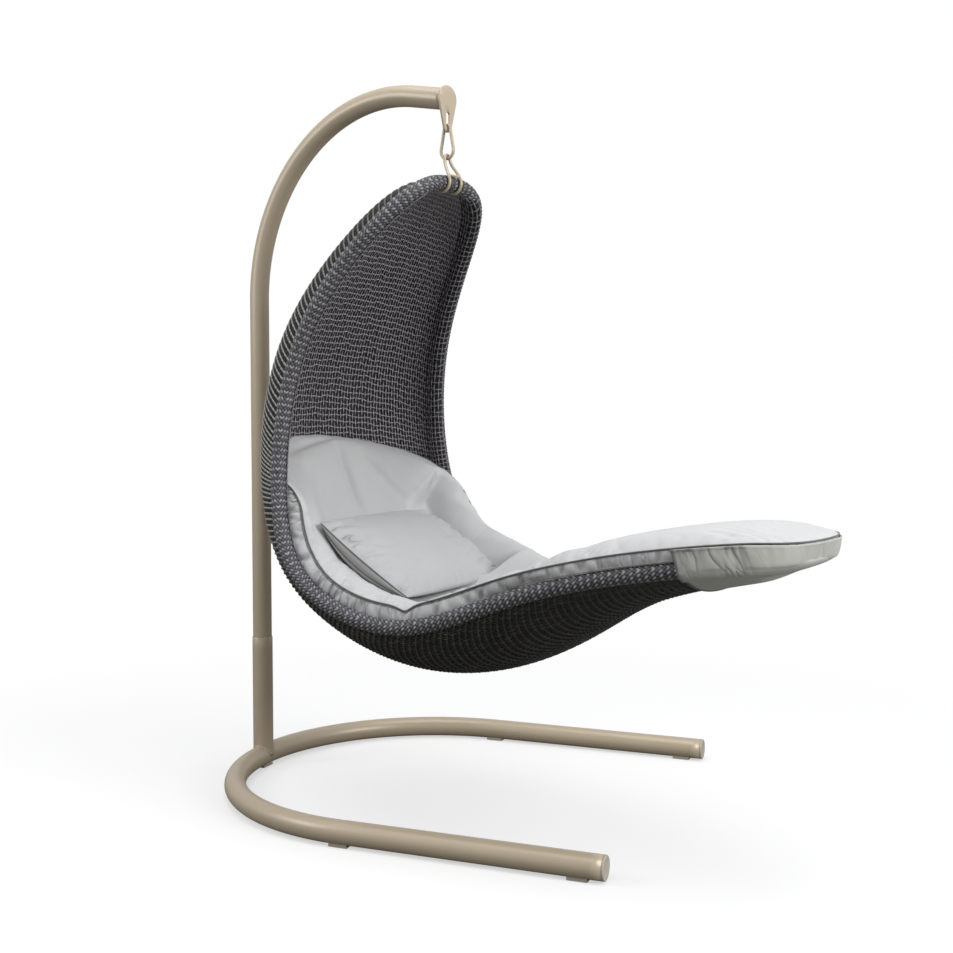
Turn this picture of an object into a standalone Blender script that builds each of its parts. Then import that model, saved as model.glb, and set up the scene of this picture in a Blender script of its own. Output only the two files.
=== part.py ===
"""Hanging lounge chair: a woven, leaf-shaped shell with a pad, hung by a link from a bent arm that
turns in the socket of a U-shaped floor base. Metres, +Z up, the origin on the floor under the post."""

import math

import bmesh
import bpy
import numpy as np

# Clearances
GAP = 0.0003
SOFT_GAP = 0.0006
SLIP_CLEARANCE = 0.0006

# Floor base: a tube bent to a half circle with two straight legs
BASE_TUBE_RADIUS = 0.030
BASE_TUBE_WALL = 0.002
BASE_BEND_RADIUS = 0.5475
BASE_LEG_LENGTH = 0.675
GLIDE_HEIGHT = 0.004
GLIDE_LENGTH = 0.050
GLIDE_WIDTH = 0.034
GLIDE_GRIP = 0.010
GLIDE_SETBACK = 0.060
CAP_PLUG_LENGTH = 0.022
CAP_FLANGE = 0.006
CAP_ROUNDING = 0.0025

# Post socket and the arm that slips into it
ARM_RADIUS = 0.028
ARM_WALL = 0.0025
SOCKET_WALL = 0.0014
SOCKET_TOP = 0.395
ARM_INSERT = 0.250
STOP_THICKNESS = 0.006
ARM_BEND_START = 1.4015
ARM_BEND_RADIUS = 0.515
ARM_BEND = math.radians(102)
ARM_END_RUN = 0.116
ARM_TURN = math.radians(-18)

# Teardrop plate on the arm's end
PLATE_THICKNESS = 0.006
PLATE_DISC_RADIUS = 0.034
PLATE_TAIL_RADIUS = 0.015
PLATE_TAIL_DROP = 0.071
SLOT_WIDTH = 0.014
SLOT_TOP_DROP = 0.034
SLOT_BOTTOM_DROP = 0.073

# Link and hanger
LINK_WIRE = 0.00425
LINK_NARROW = 0.010
LINK_WIDE = 0.0208
LINK_DROP = 0.0855
HANGER_ROD = 0.004
HANGER_APEX = 0.0105
HANGER_DROP = 0.073
HOOK_SPREAD = 0.0225
HOOK_CLEARANCE = 0.0012
HOOK_SEAT = 0.0005
HOOK_START = math.radians(20)
HOOK_END = math.radians(-115)
CROSSBAR_RADIUS = 0.003
CROSSBAR_POINT = 11
HANG_AHEAD = 0.004

# Woven shell, as stations from the hood's tip to the foot's end, measured from the tip of the rim:
# rim ahead, rim up, rim half width, keel ahead, keel up
SHELL_STATIONS = (
    (0.000, 0.000, 0.000, 0.000, 0.000),
    (-0.015, -0.040, 0.125, -0.135, -0.020),
    (-0.135, -0.185, 0.215, -0.320, -0.180),
    (-0.265, -0.410, 0.275, -0.480, -0.410),
    (-0.305, -0.690, 0.315, -0.525, -0.695),
    (-0.240, -0.938, 0.355, -0.413, -0.955),
    (-0.062, -1.065, 0.375, -0.186, -1.148),
    (0.166, -1.098, 0.350, 0.072, -1.246),
    (0.408, -1.021, 0.305, 0.335, -1.185),
    (0.676, -0.947, 0.245, 0.620, -1.030),
    (0.960, -0.905, 0.165, 0.945, -0.940),
    (1.005, -0.905, 0.000, 1.005, -0.905),
)
FOOT = len(SHELL_STATIONS) - 1
RIB_STATIONS = (2, 4, 6, 8)
FLATTER_FROM, FLATTER_TO = 8.0, 9.6
WEAVE_THICKNESS = 0.005
FRAME_ROD = 0.003
RIM_BAR = 0.006
RIB_END_GAP = 0.005
WRAP_RADIUS = 0.019
WRAP_WALL = 0.0045
SKIN_INSET = 0.0105
SKIN_LIP = 0.024
LIP_CLEARANCE = 0.002
LIP_REACH = 0.017

# Pad, foot pocket and pillow
PAD_TOP_CENTRE = 3.92
PAD_TOP_EDGE = 4.70
PAD_TOP_ARCH = 2.0
PAD_END = 10.95
PAD_THICKNESS = 0.062
PAD_SEAT_EXTRA = 0.035
PAD_EDGE_RISE = 0.050
PAD_FOOT_RISE = 0.050
PAD_EDGE_INSET = 0.0225
PAD_FOOT_OVERHANG = 0.008
PAD_CROWN = 0.018
PAD_RIM_CLEARANCE = 0.0065
PAD_EDGE_COLUMNS = 4
PAD_ROW_SHIFT = 0.24
PAD_EDGE_INSIDE = math.radians(200)
PAD_EDGE_OVER = math.radians(68)
PAD_PUCKER = 0.006
PAD_PUCKER_STATIONS = (4.9, 5.6, 6.2, 7.0, 7.9, 8.8)
POCKET_START = 9.35
POCKET_THICKNESS = 0.003
POCKET_CLEARANCE = 0.0024
PILLOW_ROWS = (5.05, 6.85)
PILLOW_HALF_WIDTH = 0.62
PILLOW_THICKNESS = 0.150
PILLOW_EDGE = 0.035
PILLOW_LEAN = 0.045

ROUND_SIDES = 20
ROD_SIDES = 8

SHELL_HALF = WEAVE_THICKNESS + FRAME_ROD + GAP + SOFT_GAP / 2
CAVITY_HALF = SHELL_HALF - WEAVE_THICKNESS
BASE_HEIGHT = GLIDE_HEIGHT + BASE_TUBE_RADIUS
SOCKET_BORE = ARM_RADIUS + SLIP_CLEARANCE
SOCKET_RADIUS = SOCKET_BORE + SOCKET_WALL


def clear_scene():
    """Empty the file of everything that it opened with."""
    for item in list(bpy.data.objects):
        bpy.data.objects.remove(item, do_unlink=True)


def material(name, colour, roughness, metallic=0.0):
    """A plain Principled finish."""
    made = bpy.data.materials.new(name)
    made.use_nodes = True
    shader = made.node_tree.nodes["Principled BSDF"]
    shader.inputs["Base Color"].default_value = (*colour, 1.0)
    shader.inputs["Roughness"].default_value = roughness
    shader.inputs["Metallic"].default_value = metallic
    return made


def axis(name, place, parent=None, turn=0.0):
    """An empty on a joint's axis, placed in its parent's frame."""
    made = bpy.data.objects.new(name, None)
    bpy.context.scene.collection.objects.link(made)
    made.parent = parent
    made.location = place
    made.rotation_euler = (0.0, 0.0, turn)
    return made


def solid(name, shape, finish, parent=None, smooth=True):
    """A named object from (points, faces), with doubled points joined and its faces turned outwards."""
    points, faces = shape
    mesh = bpy.data.meshes.new(name)
    mesh.from_pydata([tuple(p) for p in np.asarray(points, float)], [], faces)
    work = bmesh.new()
    work.from_mesh(mesh)
    bmesh.ops.remove_doubles(work, verts=work.verts, dist=1e-7)
    bmesh.ops.dissolve_degenerate(work, edges=work.edges, dist=1e-7)
    bmesh.ops.recalc_face_normals(work, faces=work.faces)
    work.to_mesh(mesh)
    work.free()
    mesh.materials.append(finish)
    if smooth:
        mesh.shade_smooth()
        mesh.set_sharp_from_angle(angle=math.radians(40))
    made = bpy.data.objects.new(name, mesh)
    bpy.context.scene.collection.objects.link(made)
    made.parent = parent
    return made


def cut(target, cutter):
    """Take a hidden cutter's shape out of a piece."""
    cutter.hide_render = True
    cutter.display_type = "WIRE"
    step = target.modifiers.new(f"cut by {cutter.name}", "BOOLEAN")
    step.operation = "DIFFERENCE"
    step.solver = "EXACT"
    step.object = cutter


def grid_faces(rows, columns, start=0, wrap_rows=False, wrap_columns=False):
    """Quads over a grid of points numbered row by row."""
    row = np.arange(rows if wrap_rows else rows - 1)[:, None]
    column = np.arange(columns if wrap_columns else columns - 1)[None, :]
    ahead, beside = (row + 1) % rows, (column + 1) % columns
    here, next_row = row * columns, ahead * columns
    corners = (here + column, here + beside, next_row + beside, next_row + column)
    return (np.stack(np.broadcast_arrays(*corners), -1).reshape(-1, 4) + start).tolist()


def frames(path, first, closed=False):
    """Two unit vectors square to a path at each point, carried along it with the least twist."""
    runs = np.roll(path, -1, axis=0) - path
    if not closed:
        runs[-1] = runs[-2]
    runs = runs / np.linalg.norm(runs, axis=1, keepdims=True)
    before = np.roll(runs, 1, axis=0)
    if not closed:
        before[0] = runs[0]
    along = runs + before
    along = along / np.linalg.norm(along, axis=1, keepdims=True)
    side = np.empty_like(path)
    kept = np.asarray(first, float)
    for index, step in enumerate(along):
        kept = kept - step * (kept @ step)
        kept = kept / np.linalg.norm(kept)
        side[index] = kept
    return side, np.cross(along, side)


def ring(radius, sides):
    """Points of a regular polygon."""
    angle = np.arange(sides) * 2 * math.pi / sides
    return radius * np.stack([np.cos(angle), np.sin(angle)], -1)


def carried(path, outline, side, other):
    """A flat outline set square to every point of a path."""
    return path[:, None] + outline[None, :, :1] * side[:, None] + outline[None, :, 1:] * other[:, None]


def rod(path, radius, first, sides=ROD_SIDES, closed=False):
    """A solid round bar along a path."""
    path = np.asarray(path, float)
    loops = carried(path, ring(radius, sides), *frames(path, first, closed))
    faces = grid_faces(len(path), sides, wrap_rows=closed, wrap_columns=True)
    if not closed:
        last = (len(path) - 1) * sides
        faces += [list(range(sides)), list(range(last, last + sides))]
    return loops.reshape(-1, 3), faces


def between(outer, inner, wrap_columns=False, joined_end=False):
    """The closed solid between two grids of like shape. A joined end's last row folds onto itself."""
    rows, columns = outer.shape[:2]
    count = rows * columns
    points = np.concatenate([outer.reshape(-1, 3), inner.reshape(-1, 3)])
    faces = grid_faces(rows, columns, wrap_columns=wrap_columns)
    faces += grid_faces(rows, columns, start=count, wrap_columns=wrap_columns)
    order = np.arange(count).reshape(rows, columns)
    edges = [order[0], order[-1]]
    if not wrap_columns:
        edges += [order[:, 0], order[:, -1]]
    if joined_end:
        edges.pop(1)
    for edge in edges:
        looped = wrap_columns and len(edge) == columns
        starts = edge if looped else edge[:-1]
        ends = np.roll(edge, -1) if looped else edge[1:]
        faces += np.stack([starts, ends, ends + count, starts + count], -1).tolist()
    return points, faces


def pipe(path, radius, wall, first, mitre=None):
    """An open tube along a path. A mitre is a unit normal: the last ring slides onto the plane square to it."""
    path = np.asarray(path, float)
    side, other = frames(path, first)
    walls = [carried(path, ring(r, ROUND_SIDES), side, other) for r in (radius, radius - wall)]
    if mitre is not None:
        run = path[-1] - path[-2]
        for loops in walls:
            loops[-1] -= run * (((loops[-1] - path[-1]) @ mitre) / (run @ mitre))[:, None]
    return between(*walls, wrap_columns=True)


def turned(profile, place, along, first):
    """A round solid from (distance along, radius) pairs."""
    stops, radii = np.array(profile, float).T
    along = np.asarray(along, float)
    side = np.asarray(first, float)
    other = np.cross(along, side)
    circle = ring(1.0, ROUND_SIDES)
    spokes = circle[:, :1] * side + circle[:, 1:] * other
    loops = np.asarray(place, float) + stops[:, None, None] * along + radii[:, None, None] * spokes
    faces = grid_faces(len(stops), ROUND_SIDES, wrap_columns=True)
    last = (len(stops) - 1) * ROUND_SIDES
    faces += [list(range(ROUND_SIDES)), list(range(last, last + ROUND_SIDES))]
    return loops.reshape(-1, 3), faces


def prism(outline, depth_from, depth_to):
    """A flat (left, up) outline made solid between two distances ahead."""
    count = len(outline)
    faces = [list(range(count)), list(range(count, 2 * count))]
    faces += [[i, (i + 1) % count, (i + 1) % count + count, i + count] for i in range(count)]
    points = [(depth, left, up) for depth in (depth_from, depth_to) for left, up in outline]
    return points, faces


def arc(radius, start, end, count, centre=(0.0, 0.0)):
    """Points of an arc in a plane."""
    angle = np.linspace(start, end, count)
    return np.asarray(centre) + radius * np.stack([np.cos(angle), np.sin(angle)], -1)


def capsule(radius, upper, lower, count):
    """Outline of a slot or tail: two half circles on one upright line."""
    return np.concatenate([
        arc(radius, 0.0, math.pi, count, (0.0, upper)),
        arc(radius, math.pi, 2 * math.pi, count, (0.0, lower)),
    ])


def two_circle_loop(upper_radius, upper, lower_radius, lower, count):
    """Outline round two circles on one upright line, joined by their outer tangents."""
    lean = math.asin((lower_radius - upper_radius) / (upper - lower))
    return np.concatenate([
        arc(upper_radius, lean, math.pi - lean, count, (0.0, upper)),
        arc(lower_radius, math.pi - lean, 2 * math.pi + lean, count, (0.0, lower)),
    ])


def spline_slopes(points, closed):
    """Slopes that give a cubic spline an even second derivative at its points."""
    count = len(points)
    matrix = 4 * np.eye(count) + np.eye(count, k=1) + np.eye(count, k=-1)
    if closed:
        matrix[0, -1] = matrix[-1, 0] = 1
        return np.linalg.solve(matrix, 3 * (np.roll(points, -1, 0) - np.roll(points, 1, 0)))
    matrix[0, 0] = matrix[-1, -1] = 2
    rise = np.empty_like(points)
    rise[1:-1] = points[2:] - points[:-2]
    rise[0], rise[-1] = points[1] - points[0], points[-1] - points[-2]
    return np.linalg.solve(matrix, 3 * rise)


def spline(points, slopes, where):
    """Points of the cubic spline at the given station numbers."""
    where = np.asarray(where, float)
    low = np.clip(np.floor(where).astype(int), 0, len(points) - 2)
    t = (where - low)[..., None]
    ends = (2 * t**3 - 3 * t**2 + 1) * points[low] + (3 * t**2 - 2 * t**3) * points[low + 1]
    return ends + (t**3 - 2 * t**2 + t) * slopes[low] + (t**3 - t**2) * slopes[low + 1]


def step_up(value, start, end):
    """A smooth rise from 0 to 1."""
    t = np.clip((np.asarray(value, float) - start) / (end - start), 0.0, 1.0)
    return t * t * (3 - 2 * t)


class Shell:
    """The woven shell's middle surface. A station u runs from the hood's tip, 0, to the foot's end. At each
    station the section runs from rim to keel to rim as half_width * sin(a) across and depth * cos(a)**power
    down, so that it is an ellipse in the seat, power 1, and flattens towards a parabola, 2, at the foot."""

    def __init__(self, stations):
        table = np.array(stations, float)
        half = table[:, :3]
        loop = np.concatenate([half, half[-2:0:-1] * (1, 1, -1)])
        self.rim_points = np.concatenate([loop, loop[:1]])
        slopes = spline_slopes(loop, closed=True)
        self.rim_slopes = np.concatenate([slopes, slopes[:1]])
        self.keel_points = table[:, 3:]
        self.keel_slopes = spline_slopes(self.keel_points, closed=False)

    def rim(self, u):
        """Rim points as (ahead, left, up). Past the foot's end the station runs back on the other side."""
        return spline(self.rim_points, self.rim_slopes, u)[..., [0, 2, 1]]

    def depth(self, u):
        """Vectors from the middle of the rim to the keel, as (ahead, left, up)."""
        keel = spline(self.keel_points, self.keel_slopes, u)
        middle = self.rim(u)
        ahead = keel[..., 0] - middle[..., 0]
        lift = np.stack([ahead, np.zeros_like(ahead), keel[..., 1] - middle[..., 2]], -1)
        return lift

    def at(self, u, a):
        """Points of the middle surface at stations u and section angles a."""
        u, a = np.broadcast_arrays(np.asarray(u, float), np.asarray(a, float))
        middle = self.rim(u)
        power = 1 + step_up(u, FLATTER_FROM, FLATTER_TO)
        place = middle + self.depth(u) * (np.maximum(np.cos(a), 0.0) ** power)[..., None]
        place[..., 1] = middle[..., 1] * np.sin(a)
        return place

    def normal(self, u, a):
        """Unit normals of the middle surface, pointing out of the shell."""
        small = 1e-4
        u = np.clip(u, 0.002, FOOT - 0.002)
        along = self.at(u + small, a) - self.at(u - small, a)
        across = self.at(u, a + small) - self.at(u, a - small)
        out = np.cross(across, along)
        return out / np.linalg.norm(out, axis=-1, keepdims=True)

    def angle_off_rim(self, u, distance):
        """The section angle at which the surface lies a given distance from the rim's middle line."""
        u = np.asarray(u, float)
        low, high = np.zeros_like(u), np.full_like(u, math.pi / 2)
        for _ in range(40):
            middle = (low + high) / 2
            far = np.linalg.norm(self.at(u, middle) - self.rim(u), axis=-1) > distance
            low, high = np.where(far, middle, low), np.where(far, high, middle)
        return (low + high) / 2

    def rim_along(self, u):
        """The rim's unit direction, taken round the loop."""
        whole = 2 * FOOT
        along = self.rim((u + 1e-3) % whole) - self.rim((u - 1e-3) % whole)
        return along / np.linalg.norm(along, axis=-1, keepdims=True)

    def rim_frame(self, u):
        """Unit vectors at rim stations: outwards, and upwards, away from the keel and square to the rim."""
        along = self.rim_along(u)
        upward = -self.depth(np.clip(u, 0.02, FOOT - 1.0))
        upward = upward - along * (upward * along).sum(-1, keepdims=True)
        upward = upward / np.linalg.norm(upward, axis=-1, keepdims=True)
        return np.cross(upward, along), upward


SHELL = Shell(SHELL_STATIONS)
SKIN_ROWS = np.concatenate([(0.12, 0.25, 0.5, 0.75), np.arange(1.0, 10.01, 0.25), (10.12,)])
SKIN_COLUMNS = np.linspace(-1.0, 1.0, 11)
LIP_COLUMN = SKIN_COLUMNS[-2]
SKIN_U = np.broadcast_to(SKIN_ROWS[:, None], (len(SKIN_ROWS), len(SKIN_COLUMNS)))
LIP_ANGLE = SHELL.angle_off_rim(SKIN_ROWS, SKIN_LIP)[:, None]
EDGE_ANGLE = SHELL.angle_off_rim(SKIN_ROWS, SKIN_INSET)[:, None]
SKIN_ANGLE = LIP_ANGLE * np.clip(SKIN_COLUMNS / LIP_COLUMN, -1.0, 1.0)
SKIN_ANGLE = SKIN_ANGLE + (EDGE_ANGLE - LIP_ANGLE) * np.trunc(SKIN_COLUMNS)
SKIN_PLACE = SHELL.at(SKIN_U, SKIN_ANGLE)
SKIN_OUT = SHELL.normal(SKIN_U, SKIN_ANGLE)


def skin(near, far):
    """One woven skin: the solid between two distances out from the shell's middle surface."""
    return between(SKIN_PLACE + SKIN_OUT * far, SKIN_PLACE + SKIN_OUT * near)


def on_skin(u, share, off):
    """Points a distance in from the flats of the shell's middle grid, at stations and shares across."""
    row = np.clip(np.searchsorted(SKIN_ROWS, u) - 1, 0, len(SKIN_ROWS) - 2)
    column = np.clip(np.searchsorted(SKIN_COLUMNS, share) - 1, 0, len(SKIN_COLUMNS) - 2)
    s = ((u - SKIN_ROWS[row]) / (SKIN_ROWS[row + 1] - SKIN_ROWS[row]))[..., None]
    t = ((share - SKIN_COLUMNS[column]) / (SKIN_COLUMNS[column + 1] - SKIN_COLUMNS[column]))[..., None]
    grid = SKIN_PLACE - SKIN_OUT * SHELL_HALF
    near = grid[row, column] * (1 - t) + grid[row, column + 1] * t
    far = grid[row + 1, column] * (1 - t) + grid[row + 1, column + 1] * t
    return near * (1 - s) + far * s - SKIN_OUT[row, column] * np.asarray(off)[..., None]


def rim_stations():
    """Stations once round the rim, level with the skins' rows so that the two keep their distance."""
    one_side = np.concatenate([(0.0, 0.06), SKIN_ROWS, (10.3, 10.45, 10.6, 10.75, 10.88)])
    return np.concatenate([one_side, (FOOT,), 2 * FOOT - one_side[:0:-1]])


def wrap_shape(u):
    """The rim's woven wrapping: a C-section round the rim bar, open towards the skins that it grips."""
    half = np.clip(np.where(u > FOOT, 2 * FOOT - u, u), 0.05, FOOT - 0.05)
    slot = SHELL.at(half, SHELL.angle_off_rim(half, LIP_REACH)) - SHELL.rim(half)
    slot[:, 1] *= np.where(u > FOOT, -1.0, 1.0)
    place = SHELL.rim(u)
    along = SHELL.rim_along(u)
    slot = slot - along * (slot * along).sum(1, keepdims=True)
    slot = slot / np.linalg.norm(slot, axis=1, keepdims=True)
    opening = math.asin((SHELL_HALF + LIP_CLEARANCE) / (WRAP_RADIUS - WRAP_WALL))
    outer_opening = math.asin((SHELL_HALF + LIP_CLEARANCE) / WRAP_RADIUS)
    outside = arc(WRAP_RADIUS, outer_opening, 2 * math.pi - outer_opening, 10)
    inside = arc(WRAP_RADIUS - WRAP_WALL, 2 * math.pi - opening, opening, 6)
    outline = np.concatenate([outside, inside])
    loops = carried(place, outline, slot, np.cross(along, slot))
    return loops.reshape(-1, 3), grid_faces(len(u), len(outline), wrap_rows=True, wrap_columns=True)


def pad_stations(t, across):
    """Stations of the pad's rows: t runs from its arched top edge to the foot, across from side to side."""
    top = PAD_TOP_CENTRE + (PAD_TOP_EDGE - PAD_TOP_CENTRE) * np.abs(across) ** PAD_TOP_ARCH
    return top + (PAD_END - top) * t


def over_rim(u):
    """How far the pad has climbed from inside the rim, 0, to lying over it, 1."""
    return step_up(u, 7.5, 8.8)


def pad_rise(u):
    """Height of the pad's edge over the rim's middle line."""
    grown = -0.004 + (PAD_EDGE_RISE + 0.004) * step_up(u, PAD_TOP_EDGE - 0.5, 6.0)
    return grown + (PAD_FOOT_RISE - PAD_EDGE_RISE) * step_up(u, 9.0, 10.5)


def pad_top(u, across):
    """The pad's upper side: dished over the seat, crowned over the legs, drawn in where its seams pull."""
    rim = SHELL.rim(u)
    out, up = SHELL.rim_frame(u)
    place = rim + out * (PAD_FOOT_OVERHANG * over_rim(u) - PAD_EDGE_INSET * (1 - over_rim(u)))[..., None]
    place = place + up * pad_rise(u)[..., None]
    depth = np.linalg.norm(SHELL.depth(u), axis=-1)
    thick = PAD_THICKNESS + PAD_SEAT_EXTRA * step_up(u, PAD_TOP_CENTRE, 5.0) * (1 - step_up(u, 6.6, 8.0))
    dish = np.maximum(depth + pad_rise(u) - SHELL_HALF - thick, 0.01) * (1 - step_up(u, 7.6, 9.0))
    dish = dish - PAD_CROWN * step_up(u, 8.0, 9.2) * (1 - step_up(u, 10.3, PAD_END))
    rest = 1 - np.abs(across) ** 2.4
    pucker = sum(np.exp(-((u - at) / 0.07) ** 2) for at in PAD_PUCKER_STATIONS)
    shallow = PAD_PUCKER * pucker * np.exp(-((1 - np.abs(across)) / 0.22) ** 2) * (np.abs(across) < 0.99)
    place = place - up * (dish * rest + shallow)[..., None]
    place[..., 1] = place[..., 1] * across
    return place


def pad_lid(u, across):
    """A level underside just over the rim, for the end of the pad that bridges the shell's foot."""
    out, up = SHELL.rim_frame(u)
    place = SHELL.rim(u) + out * PAD_FOOT_OVERHANG + up * (WRAP_RADIUS + PAD_RIM_CLEARANCE)
    place[..., 1] = place[..., 1] * across
    return place


def pad_under(u, across):
    """The pad's underside: it lies on the inner skin, rounds the rim's wrapping to the pad's edge, and
    lifts to a level lid towards the foot."""
    columns = u.shape[1]
    edge = PAD_EDGE_COLUMNS
    stations = u[:, edge:columns - edge]
    reach = LIP_COLUMN * SHELL.angle_off_rim(stations, 0.030) / SHELL.angle_off_rim(stations, SKIN_LIP)
    under = np.empty(u.shape + (3,))
    off = 2 * SOFT_GAP + GAP + 0.004 * step_up(stations, 7.6, 8.4)
    spread = np.linspace(-1.0, 1.0, columns - 2 * edge)
    under[:, edge:columns - edge] = on_skin(stations, reach * spread, off)
    last = under[:, columns - edge - 1] - SHELL.rim(u[:, columns - edge - 1])
    for step in range(edge):
        column = columns - edge + step
        at = u[:, column]
        out, up = SHELL.rim_frame(at)
        start = np.arctan2((last * up).sum(-1), (last * out).sum(-1)) % (2 * math.pi)
        final = PAD_EDGE_INSIDE + (PAD_EDGE_OVER - PAD_EDGE_INSIDE) * over_rim(at)
        share = (step + 1) / edge
        angle = start + (final - start) * share
        radius = np.linalg.norm(last, axis=-1)
        radius = radius + (WRAP_RADIUS + PAD_RIM_CLEARANCE - radius) * min(1.0, 2.0 * share)
        turned_out = out * (radius * np.cos(angle))[:, None]
        place = SHELL.rim(at) + turned_out + up * (radius * np.sin(angle))[:, None]
        under[:, column] = place
        under[:, columns - 1 - column] = place * (1, -1, 1)
    lid = step_up(u, 8.3, 9.2)[..., None]
    return under * (1 - lid) + pad_lid(u, across) * lid


def pad_grids(rows, columns):
    """Grids of the pad's upper side and underside, with their stations and shares across."""
    t = np.linspace(0.0, 1.0, rows)
    t = t + PAD_ROW_SHIFT * np.sin(math.pi * t) * t
    across = np.linspace(-1.0, 1.0, columns)
    across = np.sign(across) * np.abs(across) ** 0.9
    u = pad_stations(t[:, None], across[None, :])
    across = np.broadcast_to(across, u.shape)
    return pad_top(u, across), pad_under(u, across), u, across


def pillow_shape(top, u, across):
    """A crowned pillow with drawn-in sides that lies on a patch of the pad's upper side."""
    middle = u[:, u.shape[1] // 2]
    rows = np.where((middle > PILLOW_ROWS[0]) & (middle < PILLOW_ROWS[1]))[0]
    columns = np.where(np.abs(across[0]) < PILLOW_HALF_WIDTH)[0]
    patch = top[np.ix_(rows, columns)]
    ahead = patch[-1, len(columns) // 2] - patch[0, len(columns) // 2]
    up = np.cross(ahead, (0.0, 1.0, 0.0))
    up = up / np.linalg.norm(up) * np.sign(up[2])
    x = np.linspace(-1.0, 1.0, len(rows))[:, None]
    y = np.linspace(-1.0, 1.0, len(columns))[None, :]
    swell = np.sqrt(np.maximum((1 - x**4) * (1 - y**4), 0.0))
    raised = PILLOW_EDGE + (PILLOW_THICKNESS - PILLOW_EDGE) * swell - PILLOW_LEAN * x * (1 - x * x)
    base = patch + up * (2 * SOFT_GAP)
    return between(base + up * raised[..., None], base)


def pocket_wall(u, angles, extra):
    """One face of the foot pocket: edge to edge under the shell's foot, the last row folded together."""
    stations, turns = np.broadcast_arrays(u[:, None], angles[None, :])
    place, out = SHELL.at(stations, turns), SHELL.normal(stations, turns)
    whole_rim = SHELL.rim(np.linspace(POCKET_START - 1, 2 * FOOT - POCKET_START + 1, 300))
    from_rim = np.linalg.norm(place[:, :, None] - whole_rim, axis=-1).min(-1)
    bulge = (WRAP_RADIUS - SHELL_HALF) * np.exp(-((from_rim / 0.026) ** 2))
    under = place + out * (SHELL_HALF + POCKET_CLEARANCE + bulge + extra)[..., None]
    outward, upward = SHELL.rim_frame(u)
    clear = WRAP_RADIUS + POCKET_CLEARANCE + extra
    hem = PAD_FOOT_OVERHANG + 3 * SOFT_GAP + extra
    last = under[:, -1] - SHELL.rim(u)
    start = np.arctan2((last * upward).sum(-1), (last * outward).sum(-1))
    edges = []
    for share in (2 / 3, 1 / 3, 0.0):
        turn = (start * share)[:, None]
        edges.append(SHELL.rim(u) + clear * (outward * np.cos(turn) + upward * np.sin(turn)))
    for share in (0.55, 1.0):
        lean = clear + (hem - clear) * share**2
        height = (pad_rise(u) - 0.006) * share
        edges.append(SHELL.rim(u) + outward * lean + upward * height[:, None])
    right = np.stack(edges, 1)
    wall = np.concatenate([right[:, ::-1] * (1, -1, 1), under, right], 1)
    wall[-1, 3:-3] = right[-1, 2]
    wall[-1, :, 1] = 0.0
    return wall


def pocket_shape(pad_edge, columns):
    """The sleeve sewn to the pad's end, with the rows of the pad's edge: it holds the shell's foot."""
    u = np.append(pad_edge[pad_edge > POCKET_START], FOOT)
    angles = np.linspace(-1.0, 1.0, columns) * math.radians(80)
    return between(pocket_wall(u, angles, POCKET_THICKNESS), pocket_wall(u, angles, 0.0), joined_end=True)


def half_rib(row, side):
    """A rib's middle line from beside the spine to just short of the rim bar."""
    line = SKIN_PLACE[row, len(SKIN_COLUMNS) // 2:]
    start = line[0] + (line[1] - line[0]) * ((2 * FRAME_ROD + 2 * GAP) / np.linalg.norm(line[1] - line[0]))
    u = SKIN_ROWS[row]
    end = SHELL.at(u, SHELL.angle_off_rim(u, RIM_BAR + RIB_END_GAP))
    path = np.concatenate([[start], line[1:-1], [end]])
    return path * (1, side, 1)


def base_path():
    """The base's middle line: down one leg, round the bend behind the chair and out along the other leg."""
    bend = arc(BASE_BEND_RADIUS, math.pi / 2, 3 * math.pi / 2, 19, (BASE_BEND_RADIUS, 0.0))
    end = BASE_BEND_RADIUS + BASE_LEG_LENGTH
    flat = np.concatenate([[(end, BASE_BEND_RADIUS)], bend, [(end, -BASE_BEND_RADIUS)]])
    return np.column_stack([flat, np.full(len(flat), BASE_HEIGHT)])


def arm_path():
    """The arm's middle line in its own upright plane."""
    bend = np.linspace(0.0, ARM_BEND, 17)
    ahead = ARM_BEND_RADIUS * (1 - np.cos(bend))
    up = ARM_BEND_START + ARM_BEND_RADIUS * np.sin(bend)
    ahead = np.concatenate([[0.0], ahead, [ahead[-1] + ARM_END_RUN * math.sin(ARM_BEND)]])
    up = np.concatenate([[SOCKET_TOP - ARM_INSERT], up, [up[-1] + ARM_END_RUN * math.cos(ARM_BEND)]])
    return np.column_stack([ahead, np.zeros_like(ahead), up])


def hanger_half(centre):
    """Half of the hanger's middle line, from its apex, down one leg and round the rim to the hook's end."""
    apex = arc(HANGER_APEX, math.pi / 2, 0.0, 6, (0.0, -HANGER_APEX))
    apex = np.column_stack([np.zeros(len(apex)), apex])
    reach = WRAP_RADIUS + HANGER_ROD + HOOK_CLEARANCE
    hook = arc(reach, HOOK_START, HOOK_END, 10, (centre[0], centre[1] + HOOK_CLEARANCE - HOOK_SEAT))
    hook = np.column_stack([hook[:, 0], np.full(len(hook), HOOK_SPREAD), hook[:, 1]])
    away = np.array([math.sin(HOOK_START), 0.0, -math.cos(HOOK_START)])
    handles = np.array([apex[-1], apex[-1] - (0.0, 0.0, 0.016), hook[0] - away * 0.022, hook[0]])
    t = np.linspace(0.0, 1.0, 8)[1:-1, None]
    weights = ((1 - t) ** 3, 3 * t * (1 - t) ** 2, 3 * t**2 * (1 - t), t**3)
    leg = sum(weight * handle for weight, handle in zip(weights, handles))
    return np.concatenate([apex, leg, hook])


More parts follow.
